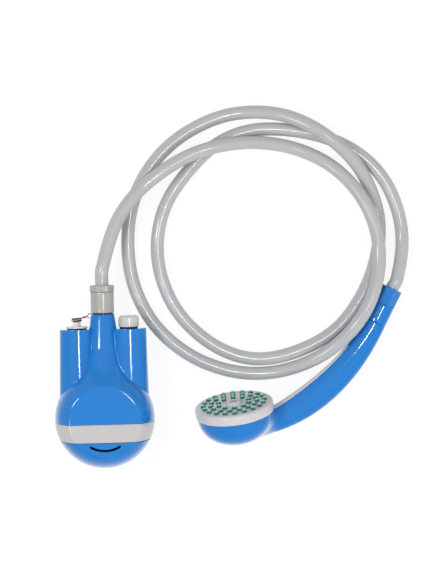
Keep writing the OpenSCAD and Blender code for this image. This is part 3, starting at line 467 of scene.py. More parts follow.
class Shade:
    """One material and the nodes that paint it."""

    def __init__(self, name: str) -> None:
        """Makes a material with its surface node."""
        self.material = bpy.data.materials.new(name)
        self.material.use_nodes = True
        self.tree = self.material.node_tree
        self.surface = self.tree.nodes["Principled BSDF"]

    def node(self, kind: str, inputs: dict | None = None, output: int | str = 0, **settings: str) -> Value:
        """Any other node.

        Args:
            kind: Its type.
            inputs: Values or links by socket name or number.
            output: The socket that is handed back.
            settings: Its own settings, set first.

        Returns:
            The output as a value.
        """
        made = self.tree.nodes.new(kind)
        for key, value in settings.items():
            setattr(made, key, value)
        for key, value in (inputs or {}).items():
            feed(self.tree, made.inputs[key], value)
        return Value(self.tree, made.outputs[output])

    def set(self, name: str, value: Value | float | tuple) -> None:
        """Gives a surface input a value or a link."""
        feed(self.tree, self.surface.inputs[name], value)

    def spot(self) -> Value:
        """Where a point is on the object, in metres."""
        return self.node("ShaderNodeTexCoord", output="Object")

    def noise(self, scale: float, detail: float = 2.0) -> Value:
        """Soft noise between nought and one, so many waves to a metre."""
        return self.node("ShaderNodeTexNoise", {"Vector": self.spot(), "Scale": scale, "Detail": detail})

    def wave(self, way: str, scale: float, wobble: float) -> Value:
        """Even waves along a direction, between nought and one, and how much they waver."""
        inputs = {"Vector": self.spot(), "Scale": scale, "Distortion": wobble}
        return self.node("ShaderNodeTexWave", inputs, 1, bands_direction=way)

    def along(self, way: Array, start: float, length: float) -> Value:
        """How far a point lies along a direction: nought at start, one a length on, in metres."""
        inputs = {0: self.spot(), 1: tuple(way)}
        dot = self.node("ShaderNodeVectorMath", inputs, "Value", operation="DOT_PRODUCT")
        return ((dot - start) / length).clamp()

    def blend(self, share: Value | float, one: Value | tuple, two: Value | tuple) -> Value:
        """A colour between two."""
        return self.node("ShaderNodeMix", {0: share, 6: one, 7: two}, 2, data_type="RGBA")

    def bump(self, height: Value, strength: float, distance: float) -> None:
        """Lets a height show in the surface's shading."""
        inputs = {"Strength": strength, "Distance": distance, "Height": height}
        self.set("Normal", self.node("ShaderNodeBump", inputs))


@dataclass(frozen=True)
class Finish:
    """A moulded or made surface: an even colour with a little cloud, gloss and grain.

    Attributes:
        slot: The record's material that it paints.
        colour: The colour, 0 to 255.
        rough: Its roughness.
        cloud: The share by which the colour varies.
        grain: Waves of the grain to a metre.
        relief: How much the grain shows.
        metal: One for metal.
        coat: A clear coat that shows where the surface turns away from the eye.
        index: The refractive index.
        patchy: The share by which the roughness varies.
    """

    slot: str
    colour: Colour
    rough: float = 0.3
    cloud: float = 0.06
    grain: float = 1400.0
    relief: float = 0.04
    metal: float = 0.0
    coat: float = 0.0
    index: float = 1.5
    patchy: float = 0.25

    def tint(self, shade: Shade) -> Value:
        """The base colour: the colour a little darker and lighter in soft clouds."""
        low, high = brighter(self.colour, 1 - self.cloud), brighter(self.colour, 1 + self.cloud)
        return shade.blend(shade.noise(CLOUD_WAVES), low, high)

    def height(self, shade: Shade) -> Value:
        """The surface's fine relief."""
        return shade.noise(self.grain, 3.0)

    def make(self) -> bpy.types.Material:
        """The material, made once and then used again."""
        name = f"{self.slot}_{type(self).__name__.lower()}_{self.colour[0]}"
        if name in bpy.data.materials:
            return bpy.data.materials[name]
        shade = Shade(name)
        shade.set("Base Color", self.tint(shade))
        shade.set("Roughness", self.rough * (1 - self.patchy / 2 + self.patchy * shade.noise(PATCH_WAVES)))
        shade.set("Metallic", self.metal)
        shade.set("IOR", self.index)
        if self.coat > 0:
            facing = shade.node("ShaderNodeLayerWeight", {"Blend": 0.5}, "Facing")
            shade.set("Coat Weight", (((facing - COAT_FROM) / COAT_SPAN) ** 2.0 * self.coat).clamp())
        shade.set("Coat Roughness", COAT_ROUGH)
        shade.bump(self.height(shade), self.relief, GRAIN_DEPTH)
        return shade.material


@dataclass(frozen=True)
class NubRubber(Finish):
    """Teal rubber painted with light: painted shade darkens the foot of a nub and a painted highlight makes
    its tip pale, over the rubber's own teal.

    Attributes:
        tip: The painted highlight's colour at the tip, 0 to 255.
        reach: The nub's height over the face, in millimetres.
        highlight_power: The power that keeps the painted highlight near the tip.
    """

    tip: Colour = (150, 250, 225)
    reach: float = 2.7
    highlight_power: float = 3.4

    def tint(self, shade: Shade) -> Value:
        """Painted shade at the foot mixed into the painted highlight at the tip by the height over the face,
        with a little cloud.
        """
        up = np.asarray(HEAD.axes)[2]
        share = shade.along(up, float(up @ np.asarray(HEAD.origin)) * MM, self.reach * MM)
        cloud = shade.noise(700.0) * 0.3 - 0.15
        return shade.blend((share**self.highlight_power + cloud).clamp(), linear(self.colour), linear(self.tip))


@dataclass(frozen=True)
class Thread(Finish):
    """Twisted yarn: a fine slanting rib."""

    def height(self, shade: Shade) -> Value:
        """Waves across the strand."""
        return shade.wave("DIAGONAL", 900.0, 1.0)


@dataclass(frozen=True)
class Turned(Finish):
    """Metal with the fine rings of a lathe."""

    def height(self, shade: Shade) -> Value:
        """Rings along the pump's axis, a few to a millimetre."""
        return shade.wave("Y", 800.0, 0.4)


@dataclass(frozen=True)
class Board(Finish):
    """A circuit board: tracks in a paler green on the lacquer."""

    def tint(self, shade: Shade) -> Value:
        """Square cells of tracks and bare lacquer."""
        inputs = {"Vector": shade.spot(), "Scale": 380.0}
        cells = shade.node("ShaderNodeTexVoronoi", inputs, "Distance", distance="CHEBYCHEV")
        return shade.blend((cells * 4 - 1.4).clamp(), linear(self.colour), brighter(self.colour, 2.2))


@dataclass(frozen=True)
class Wrap(Finish):
    """The shrunk sleeve of a cell, with narrow pale rings at even heights.

    Attributes:
        stripe: The rings' colour, 0 to 255.
    """

    stripe: Colour = (226, 226, 222)

    def tint(self, shade: Shade) -> Value:
        """The crests of a sine along the pump, a tenth of a metre long, in the rings' colour."""
        share = shade.along(np.array([0.0, 1.0, 0.0]), 0.0, 0.1)
        band = ((share * 120.0).sine() * 6 - 4.6).clamp()
        return shade.blend(band, linear(self.colour), linear(self.stripe))


BLUE = Finish(
    "blue", (26, 124, 206), rough=0.12, cloud=0.04, relief=0.001, patchy=0.06, coat=1.0, index=1.3
)
GREY = Finish("grey", (196, 194, 194), rough=0.1, cloud=0.03, relief=0.01)
BUTTON_GREY = Finish("grey", (211, 208, 202), rough=0.16, cloud=0.03, relief=0.02)
BEZEL = Finish("grey", (210, 207, 208), rough=0.15, cloud=0.03, relief=0.01)
COLLAR = Finish("collar", (172, 171, 164), rough=0.2, cloud=0.04, relief=0.05)
WHITE = Finish("white", (236, 234, 226), rough=0.32, cloud=0.02)
VINYL = Finish("hose", (184, 186, 187), rough=0.11, cloud=0.04, relief=0.004, patchy=0.1, index=1.45)
DARK_RUBBER = Finish("dark_rubber", (28, 34, 48), rough=0.55, relief=0.08)
# The nubs' teal: its colour is the foot's painted shade, and its tip colour is a painted highlight.
TEAL_PAINTED_SHADING = NubRubber("teal_rubber", (0, 78, 70), rough=0.22, relief=0.01)
STEEL = Finish("steel", (186, 188, 192), rough=0.3, metal=1.0)
BRASS = Turned("brass", (205, 172, 96), rough=0.26, metal=1.0)
DARK_PLASTIC = Finish("dark_plastic", (44, 46, 50), rough=0.45, relief=0.1)
CELL_WRAP = Wrap("cell_wrap", (36, 92, 66), rough=0.3)
BOARD = Board("board", (18, 78, 48), rough=0.35)
DARK_CORD = Thread("dark_cord", (76, 34, 46), rough=0.75, relief=0.5)
RED_CORD = Thread("red_cord", (168, 48, 62), rough=0.7, relief=0.5)


def place_piece(
    skin: Skin,
    name: str,
    finish: Finish,
    body: Body,
    place: Place = PUMP,
    sharp: float = 40.0,
) -> bpy.types.Object:
    """Makes a piece, paints it and puts it on its body in the place of a CAD node.

    Args:
        skin: Its patches.
        name: The CAD node that it stands for.
        finish: Its finish.
        body: The body that it rides on.
        place: The frame that it is drawn in.
        sharp: Edges bent by more than these degrees stay crisp.

    Returns:
        The object.
    """
    thing = skin.mesh(f"{name}_look", place, sharp)
    thing.data.materials.append(finish.make())
    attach(thing, body.value)
    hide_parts(name)
    LOG.info("%s: %d faces, rides on %s", name, len(thing.data.polygons), body.value)
    return thing


@dataclass(frozen=True)
class BallForm:
    """A ball with two flats whose edges are rounded. Its rows run along the pump's axis.

    Attributes:
        radius: The ball's radius.
        flat: From the middle to either flat.
        edge: The rounding between flat and ball.
        steps: Columns of a quarter on the flat, on the rounding and on the ball.
    """

    radius: float = 47.5
    flat: float = 33.4
    edge: float = 4.0
    steps: tuple[int, int, int] = (8, 8, 22)

    @property
    def quarter(self) -> int:
        """Columns of a quarter ring."""
        return sum(self.steps)

    def core(self, grow: Array | float = 0.0) -> Array:
        """The radius of the flat's own disc: the rounding's centre touches ball and flat alike."""
        return np.sqrt((self.radius + grow - self.edge) ** 2 - (self.flat + grow - self.edge) ** 2)

    def rings(self, along: Array, grow: Array | float = 0.0) -> Array:
        """Rings of the form, one to each height.

        A quarter ring goes along the flat, round the edge's arc and on round the ball's own circle at
        that height, and is mirrored to the other three quarters.

        Args:
            along: The heights on the pump's axis.
            grow: How far outside the form a ring lies, one or one to a height.

        Returns:
            Heights by columns by three.
        """
        s = np.asarray(along, float).reshape(-1, 1)
        grow = np.broadcast_to(np.asarray(grow, float).reshape(-1, 1), s.shape)
        ball, flat, edge, core = self.radius + grow, self.flat + grow, self.edge, self.core(grow)
        meet = np.arctan2(flat - edge, core)
        begin = np.maximum(np.arccos(np.clip((np.abs(s) - core) / edge, 0, 1)), meet)
        round_r = np.sqrt(np.maximum(ball**2 - s**2, 0))
        n_flat, n_edge, n_ball = self.steps
        x_flat = np.sqrt(np.maximum(core**2 - s**2, 0)) * np.linspace(0, 1, n_flat + 1)
        y_flat = np.minimum(flat - edge + edge * np.sin(begin), round_r) + 0 * x_flat
        bend = mix(begin, meet, np.linspace(0, 1, n_edge + 1)[1:])
        x_edge = np.sqrt(np.maximum((core + edge * np.cos(bend)) ** 2 - s**2, 0))
        y_edge = np.minimum(flat - edge + edge * np.sin(bend), round_r)
        last = np.arcsin(np.clip(y_edge[:, -1:] / np.maximum(round_r, 1e-9), -1, 1))
        arc = last * (1 - np.linspace(0, 1, n_ball + 1)[1:])
        x = np.concatenate([x_flat, x_edge, round_r * np.cos(arc)], 1)
        y = np.concatenate([y_flat, y_edge, round_r * np.sin(arc)], 1)
        x = np.concatenate([x, x[:, -2::-1], -x[:, 1:], -x[:, -2:0:-1]], 1)
        y = np.concatenate([y, -y[:, -2::-1], -y[:, 1:], y[:, -2:0:-1]], 1)
        return np.stack([x, y, s + 0 * x], -1)

    def rows(self, low: float, high: float, count: int) -> Array:
        """Heights between two, close together where the flat ends: the core's radius times a sine."""
        core = float(self.core())
        return core * np.sin(np.linspace(math.asin(low / core), math.asin(high / core), count))

    def distance(self, points: Array) -> Array:
        """Signed distance from the form: from the flat, from the rounding's arc or from the ball."""
        out = np.hypot(points[..., 0], points[..., 2])
        side = np.abs(points[..., 1])
        core, base = float(self.core()), self.flat - self.edge
        arc = np.hypot(out - core, side - base) - self.edge
        on_ball = (side - base) * core < (out - core) * base
        curved = np.where(on_ball, np.hypot(out, side) - self.radius, arc)
        return np.where(out < core, side - self.flat, curved)


BALL = BallForm()


@dataclass(frozen=True)
class Housing:
    """The pump's blue upper housing: the upper ball, the flared neck and the two battery tubes.

    Attributes:
        split: Where the band begins, on the axis.
        wall_low: Where the hidden wall inside the band ends.
        flare: The radius of the neck's flare.
        neck_r: The neck's radius at its top.
        neck_top: The neck's top.
        taper: The neck's lean, in degrees.
        tube_x: From the middle to a tube's axis.
        tube_r: A tube's radius at its top.
        tube_top: A tube's top.
        tube_low: Where a tube ends inside the ball.
        draft: A tube's lean, in degrees.
        hole_r: The hole in a tube's top.
        soft: The rounding of the tubes' top edges.
        crease: How far the roundings of the inner corners reach.
        between: Half the angle in which the tubes meet inside the neck, in degrees.
    """

    split: float = -2.6
    wall_low: float = -19.7
    flare: float = 57.0
    neck_r: float = 11.0
    neck_top: float = 100.2
    taper: float = 8.0
    tube_x: float = 24.5
    tube_r: float = 16.5
    tube_top: float = 85.2
    tube_low: float = 3.0
    draft: float = 1.3
    hole_r: float = 6.5
    soft: float = 0.5
    crease: float = 0.9
    between: float = 31.5

    def neck_line(self) -> tuple[Array, float]:
        """The cone's outward direction in radius and height, and its distance from the middle."""
        out = np.array([math.cos(math.radians(self.taper)), math.sin(math.radians(self.taper))])
        return out, float(out @ np.array([self.neck_r, self.neck_top]))

    def flare_centre(self) -> Array:
        """The flare's centre: the flare's radius off the cone and off the ball alike."""
        out, line = self.neck_line()
        rise = math.sqrt((BALL.radius + self.flare) ** 2 - (line + self.flare) ** 2)
        return (line + self.flare) * out + rise * np.array([-out[1], out[0]])

    def flare_start(self) -> Array:
        """Radius and height at which the flare leaves the ball: on the line to the flare's centre."""
        return BALL.radius * self.flare_centre() / (BALL.radius + self.flare)

    def tube_at(self, along: Array | float) -> Array | float:
        """A tube's radius at a height: a little wider lower down."""
        return self.tube_r + (self.tube_top - along) * math.tan(math.radians(self.draft))

    def body_distance(self, points: Array) -> Array:
        """Signed distance from ball and neck: the ball below the flare, arc or cone above it."""
        centre, (out, line) = self.flare_centre(), self.neck_line()
        radius, s = np.hypot(points[..., 0], points[..., 1]), points[..., 2]
        arc = self.flare - np.hypot(radius - centre[0], s - centre[1])
        cone = radius * out[0] + s * out[1] - line
        above = np.where(s > (centre - self.flare * out)[1], cone, arc)
        return np.where(s < self.flare_start()[1], BALL.distance(points), above)

    def tube_distance(self, points: Array, side: float) -> Array:
        """Signed distance from a tube's cone."""
        radius = np.hypot(points[..., 0] - side * self.tube_x, points[..., 1])
        return (radius - self.tube_at(points[..., 2])) * math.cos(math.radians(self.draft))

    def neck_profile(self) -> Array:
        """Radius and height up the flare's arc, the neck, its groove and its spout, and down inside."""
        centre, top, spout = self.flare_centre(), self.neck_top, 110.6
        first, last = math.atan2(-centre[1], -centre[0]), math.radians(self.taper) - math.pi
        bend = np.linspace(first, last, 30)[1:]
        arc = centre + self.flare * np.stack([np.cos(bend), np.sin(bend)], -1)
        neck = outline(
            [
                (*arc[-1], 0), (11.22, top - 1.55, 0.25), (10.0, top - 1.4, 0.1), (10.0, top, 0.1),
                (8.2, top, 0.2), (8.2, spout, 0.3), (4.4, spout, 0.2), (4.4, 104.0, 0), (0.0, 104.0, 0),
            ],
            most=3.0,
        )
        return np.concatenate([arc, neck[1:]])

    def body_grid(self) -> Array:
        """Ball and neck as one grid: rings of the ball, then circles that follow the flare and the neck.

        The ball's last ring isn't quite a circle, so the first circles keep its drift, fading with height.
        """
        circle, start = self.flare_start()
        core, past_flat, fade_over = float(BALL.core()), 32.3, 4.0
        rim = outline([(self.split, -2.2, 0), (self.split, 0.0, 0.35), (self.split + 2, 0.0, 0)])
        heights = np.concatenate([BALL.rows(self.split + 2.2, core, 26), np.linspace(past_flat, start, 7)])
        low = BALL.rings(np.concatenate([rim[:, 0], heights]), np.concatenate([rim[:, 1], 0 * heights]))
        high = self.neck_profile()
        angle = np.arctan2(low[-1, :, 1], low[-1, :, 0])
        rings = about_axis(high[:, :1], angle, high[:, 1:])
        fade = np.clip(1 - (high[:, 1] - start) / fade_over, 0, 1)[:, None, None] ** 2
        rings[..., :2] += (low[-1] - about_axis(circle, angle, 0.0))[:, :2] * fade
        return np.concatenate([low, rings])

    def crease_line(self, side: float) -> Array:
        """Where a tube leaves ball and neck: for each angle round the tube, the height where it comes out."""
        gap = math.radians(self.between)
        angle = np.linspace(-math.pi + gap, math.pi - gap, 181)

        def on_tube(s: Array) -> Array:
            """The tube's points at heights."""
            return about_axis(self.tube_at(s), angle, s, (self.tube_x, 0.0)) * np.array([side, 1.0, 1.0])

        low, high = np.full(angle.shape, 2.0), np.full(angle.shape, self.tube_top)
        return on_tube(settle(lambda s: self.body_distance(on_tube(s)) < 0, low, high))

    def build(self) -> None:
        """Builds ball, neck, tubes, the roundings between them and the wall inside the band."""
        skin = Skin().grid(self.body_grid())
        outside, inside, floor = -2.6, -4.6, 81.0
        wall = outline(
            [
                (self.split, outside, 0), (self.wall_low, outside, 0.3), (self.wall_low, inside, 0.3),
                (self.split, inside, 0),
            ],
            most=3.0,
        )
        skin.grid(BALL.rings(wall[:, 0], wall[:, 1]), loop=True)
        top, low, under_edge = self.tube_top, self.tube_low, self.tube_top - 1.1
        tube = outline(
            [
                (0, floor, 0), (self.hole_r, floor, 0), (self.hole_r, top, 0.3),
                (self.tube_r, top, self.soft), (self.tube_at(under_edge), under_edge, 0),
                (self.tube_at(low), low, 0), (0, low, 0),
            ],
            most=12.0,
        )
        for side in (-1.0, 1.0):
            skin.spin(tube, 128, (side * self.tube_x, 0.0))
            line = self.crease_line(side)
            one_tube = partial(self.tube_distance, side=side)
            skin.tube(fillet(line, one_tube, self.body_distance, self.crease, closed=False))
        place_piece(skin, "upper_housing", BLUE, Body.PUMP)


@dataclass(frozen=True)
class BandRing:
    """The grey band round the ball.

    Attributes:
        top: Its upper edge, on the axis.
        low: Its lower edge.
        thick: Its thickness.
        soft: The rounding of its outer edges.
    """

    top: float = -2.75
    low: float = -19.65
    thick: float = 2.2
    soft: float = 0.4

    def build(self) -> None:
        """Rings of the ball's form along the band's rounded section, closed on themselves."""
        section = outline(
            [
                (self.top - 8, -self.thick, 0), (self.top, -self.thick, 0.2), (self.top, 0, self.soft),
                (self.low, 0, self.soft), (self.low, -self.thick, 0.2), (self.top - 8.1, -self.thick, 0),
            ],
            most=1.2,
        )
        skin = Skin().grid(BALL.rings(section[:, 0], section[:, 1]), loop=True)
        place_piece(skin, "band_ring", GREY, Body.PUMP)


def below(radius: Array | float, angle: Array) -> Array:
    """Points of a circle in two coordinates, by the angle from its lowest point."""
    return np.stack([radius * np.sin(angle), -radius * np.cos(angle)], -1)


@dataclass(frozen=True)
class IntakeDome:
    """The blue lower cover, a shell with a curved slot in either flat.

    Attributes:
        top: The cover's upper edge.
        wall: The shell's thickness.
        slot_r: The radius on which the slot lies.
        slot_w: The slot's width.
        slot_angle: The slot's length, in degrees.
        lip: The rounding of the slot's edge.
        soft: The rounding of the upper edge.
    """

    top: float = -20.0
    wall: float = 2.4
    slot_r: float = 27.2
    slot_w: float = 2.3
    slot_angle: float = 64.0
    lip: float = 0.3
    soft: float = 0.4

    def slot_loop(self, wider: float) -> Array:
        """The slot's edge: two arcs a half width off the slot's own, joined with half circles at the ends."""
        half = math.radians(self.slot_angle / 2) * self.slot_r - self.slot_w / 2
        r = self.slot_w / 2 + wider
        run, cap = np.linspace(-1, 1, 40, endpoint=False), np.linspace(0, math.pi, 12, endpoint=False)
        a = np.concatenate([run * half, half + r * np.sin(cap), -run * half, -half - r * np.sin(cap)])
        b = np.concatenate([0 * run + r, r * np.cos(cap), 0 * run - r, -r * np.cos(cap)])
        return below(self.slot_r + b, a / self.slot_r)

    def flat_loop(self, core: float, edge: float) -> Array:
        """The flat's edge, point for point beside the slot's: its circle below and a straight line above."""
        most = math.acos(-edge / core)
        wide, some, few = core * math.sin(most), 0.88 * most, 0.8
        run, cap = np.linspace(-1, 1, 40, endpoint=False), np.linspace(0, 1, 6, endpoint=False)
        right = below(core, np.concatenate([run * some, mix(some, most, cap)]))
        across = np.concatenate([mix(1, few, cap), -run * few, mix(-few, -1, cap)])
        above = np.stack([wide * across, edge + 0 * across], -1)
        return np.concatenate([right, above, below(core, mix(-most, -some, cap))])

    def build(self) -> None:
        """Builds the shell's rim, its two skins, the flats and the slots' walls."""
        skin, n, m = Skin(), BALL.steps[0], BALL.quarter
        right, left = np.r_[n : 2 * m - n + 1], np.r_[2 * m + n : 4 * m - n + 1] % (4 * m)
        top, low = self.top, self.top - self.soft
        rim = outline([(low, -self.wall, 0), (top, -self.wall, 0.1), (top, 0, self.soft), (low, 0, 0)])
        skin.grid(BALL.rings(rim[:, 0], rim[:, 1]))
        share = np.array([0, 0.08, 0.3, 0.65, 1.0])[:, None, None]
        for grow in (0.0, -self.wall):
            core, ball = float(BALL.core(grow)), BALL.radius + grow
            beside = core * np.sin(np.linspace(math.asin(-low / core), math.pi / 2, 20))
            ends = np.linspace(core, core + 3.2, 9)[1:]
            pole = ball * np.sin(np.linspace(math.asin(ends[-1] / ball), math.pi / 2, 26))[1:]
            rings = BALL.rings(-np.concatenate([beside, ends, pole]), grow)
            skin.grid(rings[:, right], wrap=False).grid(rings[:, left], wrap=False)
            inner = self.slot_loop(self.lip if grow == 0 else 0.0)
            sheet = mix(inner[None], self.flat_loop(core, low)[None], share)
            for side in (-1.0, 1.0):
                depth = np.full((*sheet.shape[:2], 1), side * (BALL.flat + grow))
                skin.grid(np.concatenate([sheet[..., :1], depth, sheet[..., 1:]], -1))
        edge = outline([(self.lip, 0, 0), (0, 0, self.lip * 0.95), (0, -self.wall, 0)], most=0.8)
        walls = np.stack([self.slot_loop(wide) for wide in edge[:, 0]])
        for side in (-1.0, 1.0):
            depth = side * (BALL.flat + edge[:, 1])[:, None, None] + 0 * walls[..., :1]
            skin.grid(np.concatenate([walls[..., :1], depth, walls[..., 1:]], -1))
        place_piece(skin, "intake_dome", BLUE, Body.DOME)


@dataclass(frozen=True)
class HexNut:
    """A nut with a round sleeve and a hexagon ring, on the axis of its own frame.

    Attributes:
        low: Where it begins.
        high: Where it ends.
        radius: The sleeve's radius.
        ring_low: Where the hexagon begins.
        across: The hexagon, from flat to flat.
        corner: The radius of the circle that cuts the hexagon's corners.
        face: The angle of one flat's middle, in degrees.
        step: Where the inside narrows to the bore.
        lip: How much the bore opens at the end.
        inside: The radius inside the sleeve.
        bore: The bore's radius.
    """

    low: float
    high: float
    radius: float
    ring_low: float
    across: float
    corner: float
    face: float
    step: float
    lip: float
    inside: float = 8.45
    bore: float = 6.84

    def hexagon(self, angle: Array) -> Array:
        """The hexagon's radius at angles.

        The flat's distance over the cosine of the angle from the nearest flat, held under the circle with
        a soft least of the two.
        """
        third, power = math.pi / 3, 60.0
        near = (angle - math.radians(self.face) + third / 2) % third - third / 2
        return ((np.cos(near) / (self.across / 2)) ** power + self.corner**-power) ** (-1 / power)

    def skin(self, sleeve: Array, ring: Array) -> Skin:
        """A grid of angles by a section that turns from round to hexagon and goes back through the bore.

        Args:
            sleeve: Radius and height of the sleeve's section.
            ring: The ring's section, as distances from the hexagon and heights.

        Returns:
            The nut's skin.
        """
        angle = angles(192)
        inner = outline(
            [
                (self.bore + self.lip, self.high, 0), (self.bore, self.high - 0.4, 0.2),
                (self.bore, self.step, 0), (self.inside, self.step, 0), (self.inside, self.low, 0),
            ]
        )
        even = 0 * angle
        radius = [sleeve[:, :1] + even, ring[:, :1] + self.hexagon(angle), inner[:, :1] + even]
        height = np.concatenate([sleeve, ring, inner])[:, 1:]
        return Skin().grid(about_axis(np.concatenate(radius), angle, height))


@dataclass(frozen=True)
class HoseNut(HexNut):
    """The grey collar nut on the neck: a round sleeve with a hexagon ring on top."""

    low: float = 100.5
    high: float = 126.4
    radius: float = 11.0
    ring_low: float = 120.2
    across: float = 20.8
    corner: float = 11.5
    face: float = -90.0
    step: float = 124.0
    lip: float = 0.5

    def build(self) -> None:
        """Draws the two sections: the ring stands on the sleeve with a groove between them."""
        seat, ring_low, high = self.ring_low - 0.3, self.ring_low, self.high
        sleeve = outline(
            [
                (self.inside, self.low, 0), (self.radius, self.low, 0.6), (self.radius, seat, 0.25),
                (9.9, seat, 0),
            ],
            most=4.0,
        )
        ring = outline(
            [
                (-1.6, seat, 0), (-0.35, ring_low, 0.1), (0, ring_low + 0.4, 0.3), (0, high - 0.5, 0.4),
                (-0.7, high, 0.3), (-3.0, high, 0),
            ],
            most=2.0,
        )
        place_piece(self.skin(sleeve, ring), "hose_nut", COLLAR, Body.PUMP_NUT, sharp=32.0)


@dataclass(frozen=True)
class HandleNut(HexNut):
    """The blue nut at the end of the handle: round beside the seam and a hexagon beyond."""

    low: float = 0.08
    high: float = 36.5
    radius: float = 10.5
    ring_low: float = 18.5
    across: float = 17.8
    corner: float = 10.45
    face: float = 0.0
    step: float = 33.0
    lip: float = 0.4

    def build(self, seam: Place) -> None:
        """Draws the two sections in the frame at the handle's end."""
        ring_low, high = self.ring_low, self.high
        sleeve = outline(
            [
                (self.inside, self.low, 0), (self.radius, self.low, 0.5), (self.radius, ring_low - 0.6, 0.4),
                (9.4, ring_low, 0),
            ],
            most=4.0,
        )
        ring = outline(
            [
                (-0.3, ring_low, 0), (0, ring_low + 0.5, 0.3), (0, high - 0.7, 0.5), (-0.8, high, 0.3),
                (-2.4, high, 0),
            ],
            most=3.0,
        )
        place_piece(self.skin(sleeve, ring), "handle_nut", BLUE, Body.SHOWER_NUT, seam, 32.0)


@dataclass(frozen=True)
class PowerButton:
    """The grey push button on the right tube and the dark gasket under it.

    Attributes:
        at: Where its axis stands.
        low: The cap's lower edge.
        high: The cap's top.
        radius: The cap's radius.
        shoulder: The rounding of the cap's top edge.
        stem: The stem's radius and its lower end.
        spring: The radius and the top of the recess that the spring stands in.
        hollow: The radius and the top of the hollow round it.
    """

    at: tuple[float, float] = (24.5, 0.0)
    low: float = 86.5
    high: float = 97.5
    radius: float = 9.75
    shoulder: float = 3.4
    stem: tuple[float, float] = (2.9, 79.8)
    spring: tuple[float, float] = (5.6, 96.6)
    hollow: tuple[float, float] = (8.75, 95.0)

    def build(self) -> None:
        """Turns the hollow cap with its stem, and the gasket."""
        (stem, end), (spring, recess), (hollow, roof) = self.stem, self.spring, self.hollow
        cap = outline(
            [
                (0, end, 0), (stem, end, 0.3), (stem, recess, 0), (spring, recess, 0.3), (spring, roof, 0.2),
                (hollow, roof, 0.5), (hollow, self.low, 0.2), (self.radius, self.low, 0.4),
                (self.radius, self.high - 0.35, self.shoulder), (0, self.high, 0),
            ],
            most=2.0,
            steps=12,
        )
        place_piece(Skin().spin(cap, at=self.at), "button_cap", BUTTON_GREY, Body.BUTTON)
        foot, top = 85.2, 86.55
        ring = outline([(7.5, foot, 0), (8.6, foot, 0.2), (8.6, top, 0.5), (6.6, top, 0.3), (6.6, foot, 0)])
        gasket = Skin().spin(ring, at=self.at, loop=True)
        place_piece(gasket, "button_gasket", DARK_RUBBER, Body.PUMP)


@dataclass(frozen=True)
class ChargePlug:
    """The white plug on the left tube, its square post and the dark gasket under it.

    Attributes:
        at: Where its axis stands.
        flange_r: The flange's radius.
        low: The flange's underside.
        high: The flange's top.
        post_top: The post's top.
        post_half: From the post's axis to its sides.
        post_turn: The post's turn about its axis, in degrees.
        square: The power that makes a circle square: 2 keeps it round.
    """

    at: tuple[float, float] = (-24.5, 0.0)
    flange_r: float = 10.0
    low: float = 86.1
    high: float = 87.6
    post_top: float = 94.8
    post_half: float = 2.85
    post_turn: float = 38.0
    square: int = 7

    def post(self) -> Array:
        """The post's rings: a soft square whose size follows a profile along the axis."""
        side = outline(
            [
                (1.5, self.high - 0.5, 0), (1.12, self.high - 0.1, 0.3), (1.0, self.high + 0.6, 0.4),
                (1.0, self.post_top, 0.35), (0, self.post_top, 0),
            ]
        )
        angle, power = angles(64), self.square
        size = (np.abs(np.cos(angle)) ** power + np.abs(np.sin(angle)) ** power) ** (-1 / power)
        turn = angle + math.radians(self.post_turn)
        return about_axis(side[:, :1] * (self.post_half * size), turn, side[:, 1:], self.at)

    def build(self) -> None:
        """Turns flange and stem, sets the post on the flange, and turns the gasket."""
        flange = outline(
            [
                (0, 84.5, 0), (2.4, 84.5, 0), (2.4, 79.0, 0), (4.4, 79.0, 0.4), (4.4, self.low, 0.1),
                (self.flange_r, self.low, 0.3), (self.flange_r, self.high, 0.5), (0, self.high + 0.1, 0),
            ],
            most=3.0,
        )
        skin = Skin().spin(flange, at=self.at).tube(self.post())
        place_piece(skin, "charge_plug", WHITE, Body.PLUG)
        foot, top = 85.3, 86.05
        ring = outline([(7, foot, 0), (9.3, foot, 0.25), (9.3, top, 0.25), (4.45, top, 0.2), (4.45, foot, 0)])
        gasket = Skin().spin(ring, at=self.at, loop=True)
        place_piece(gasket, "plug_gasket", DARK_RUBBER, Body.PLUG)


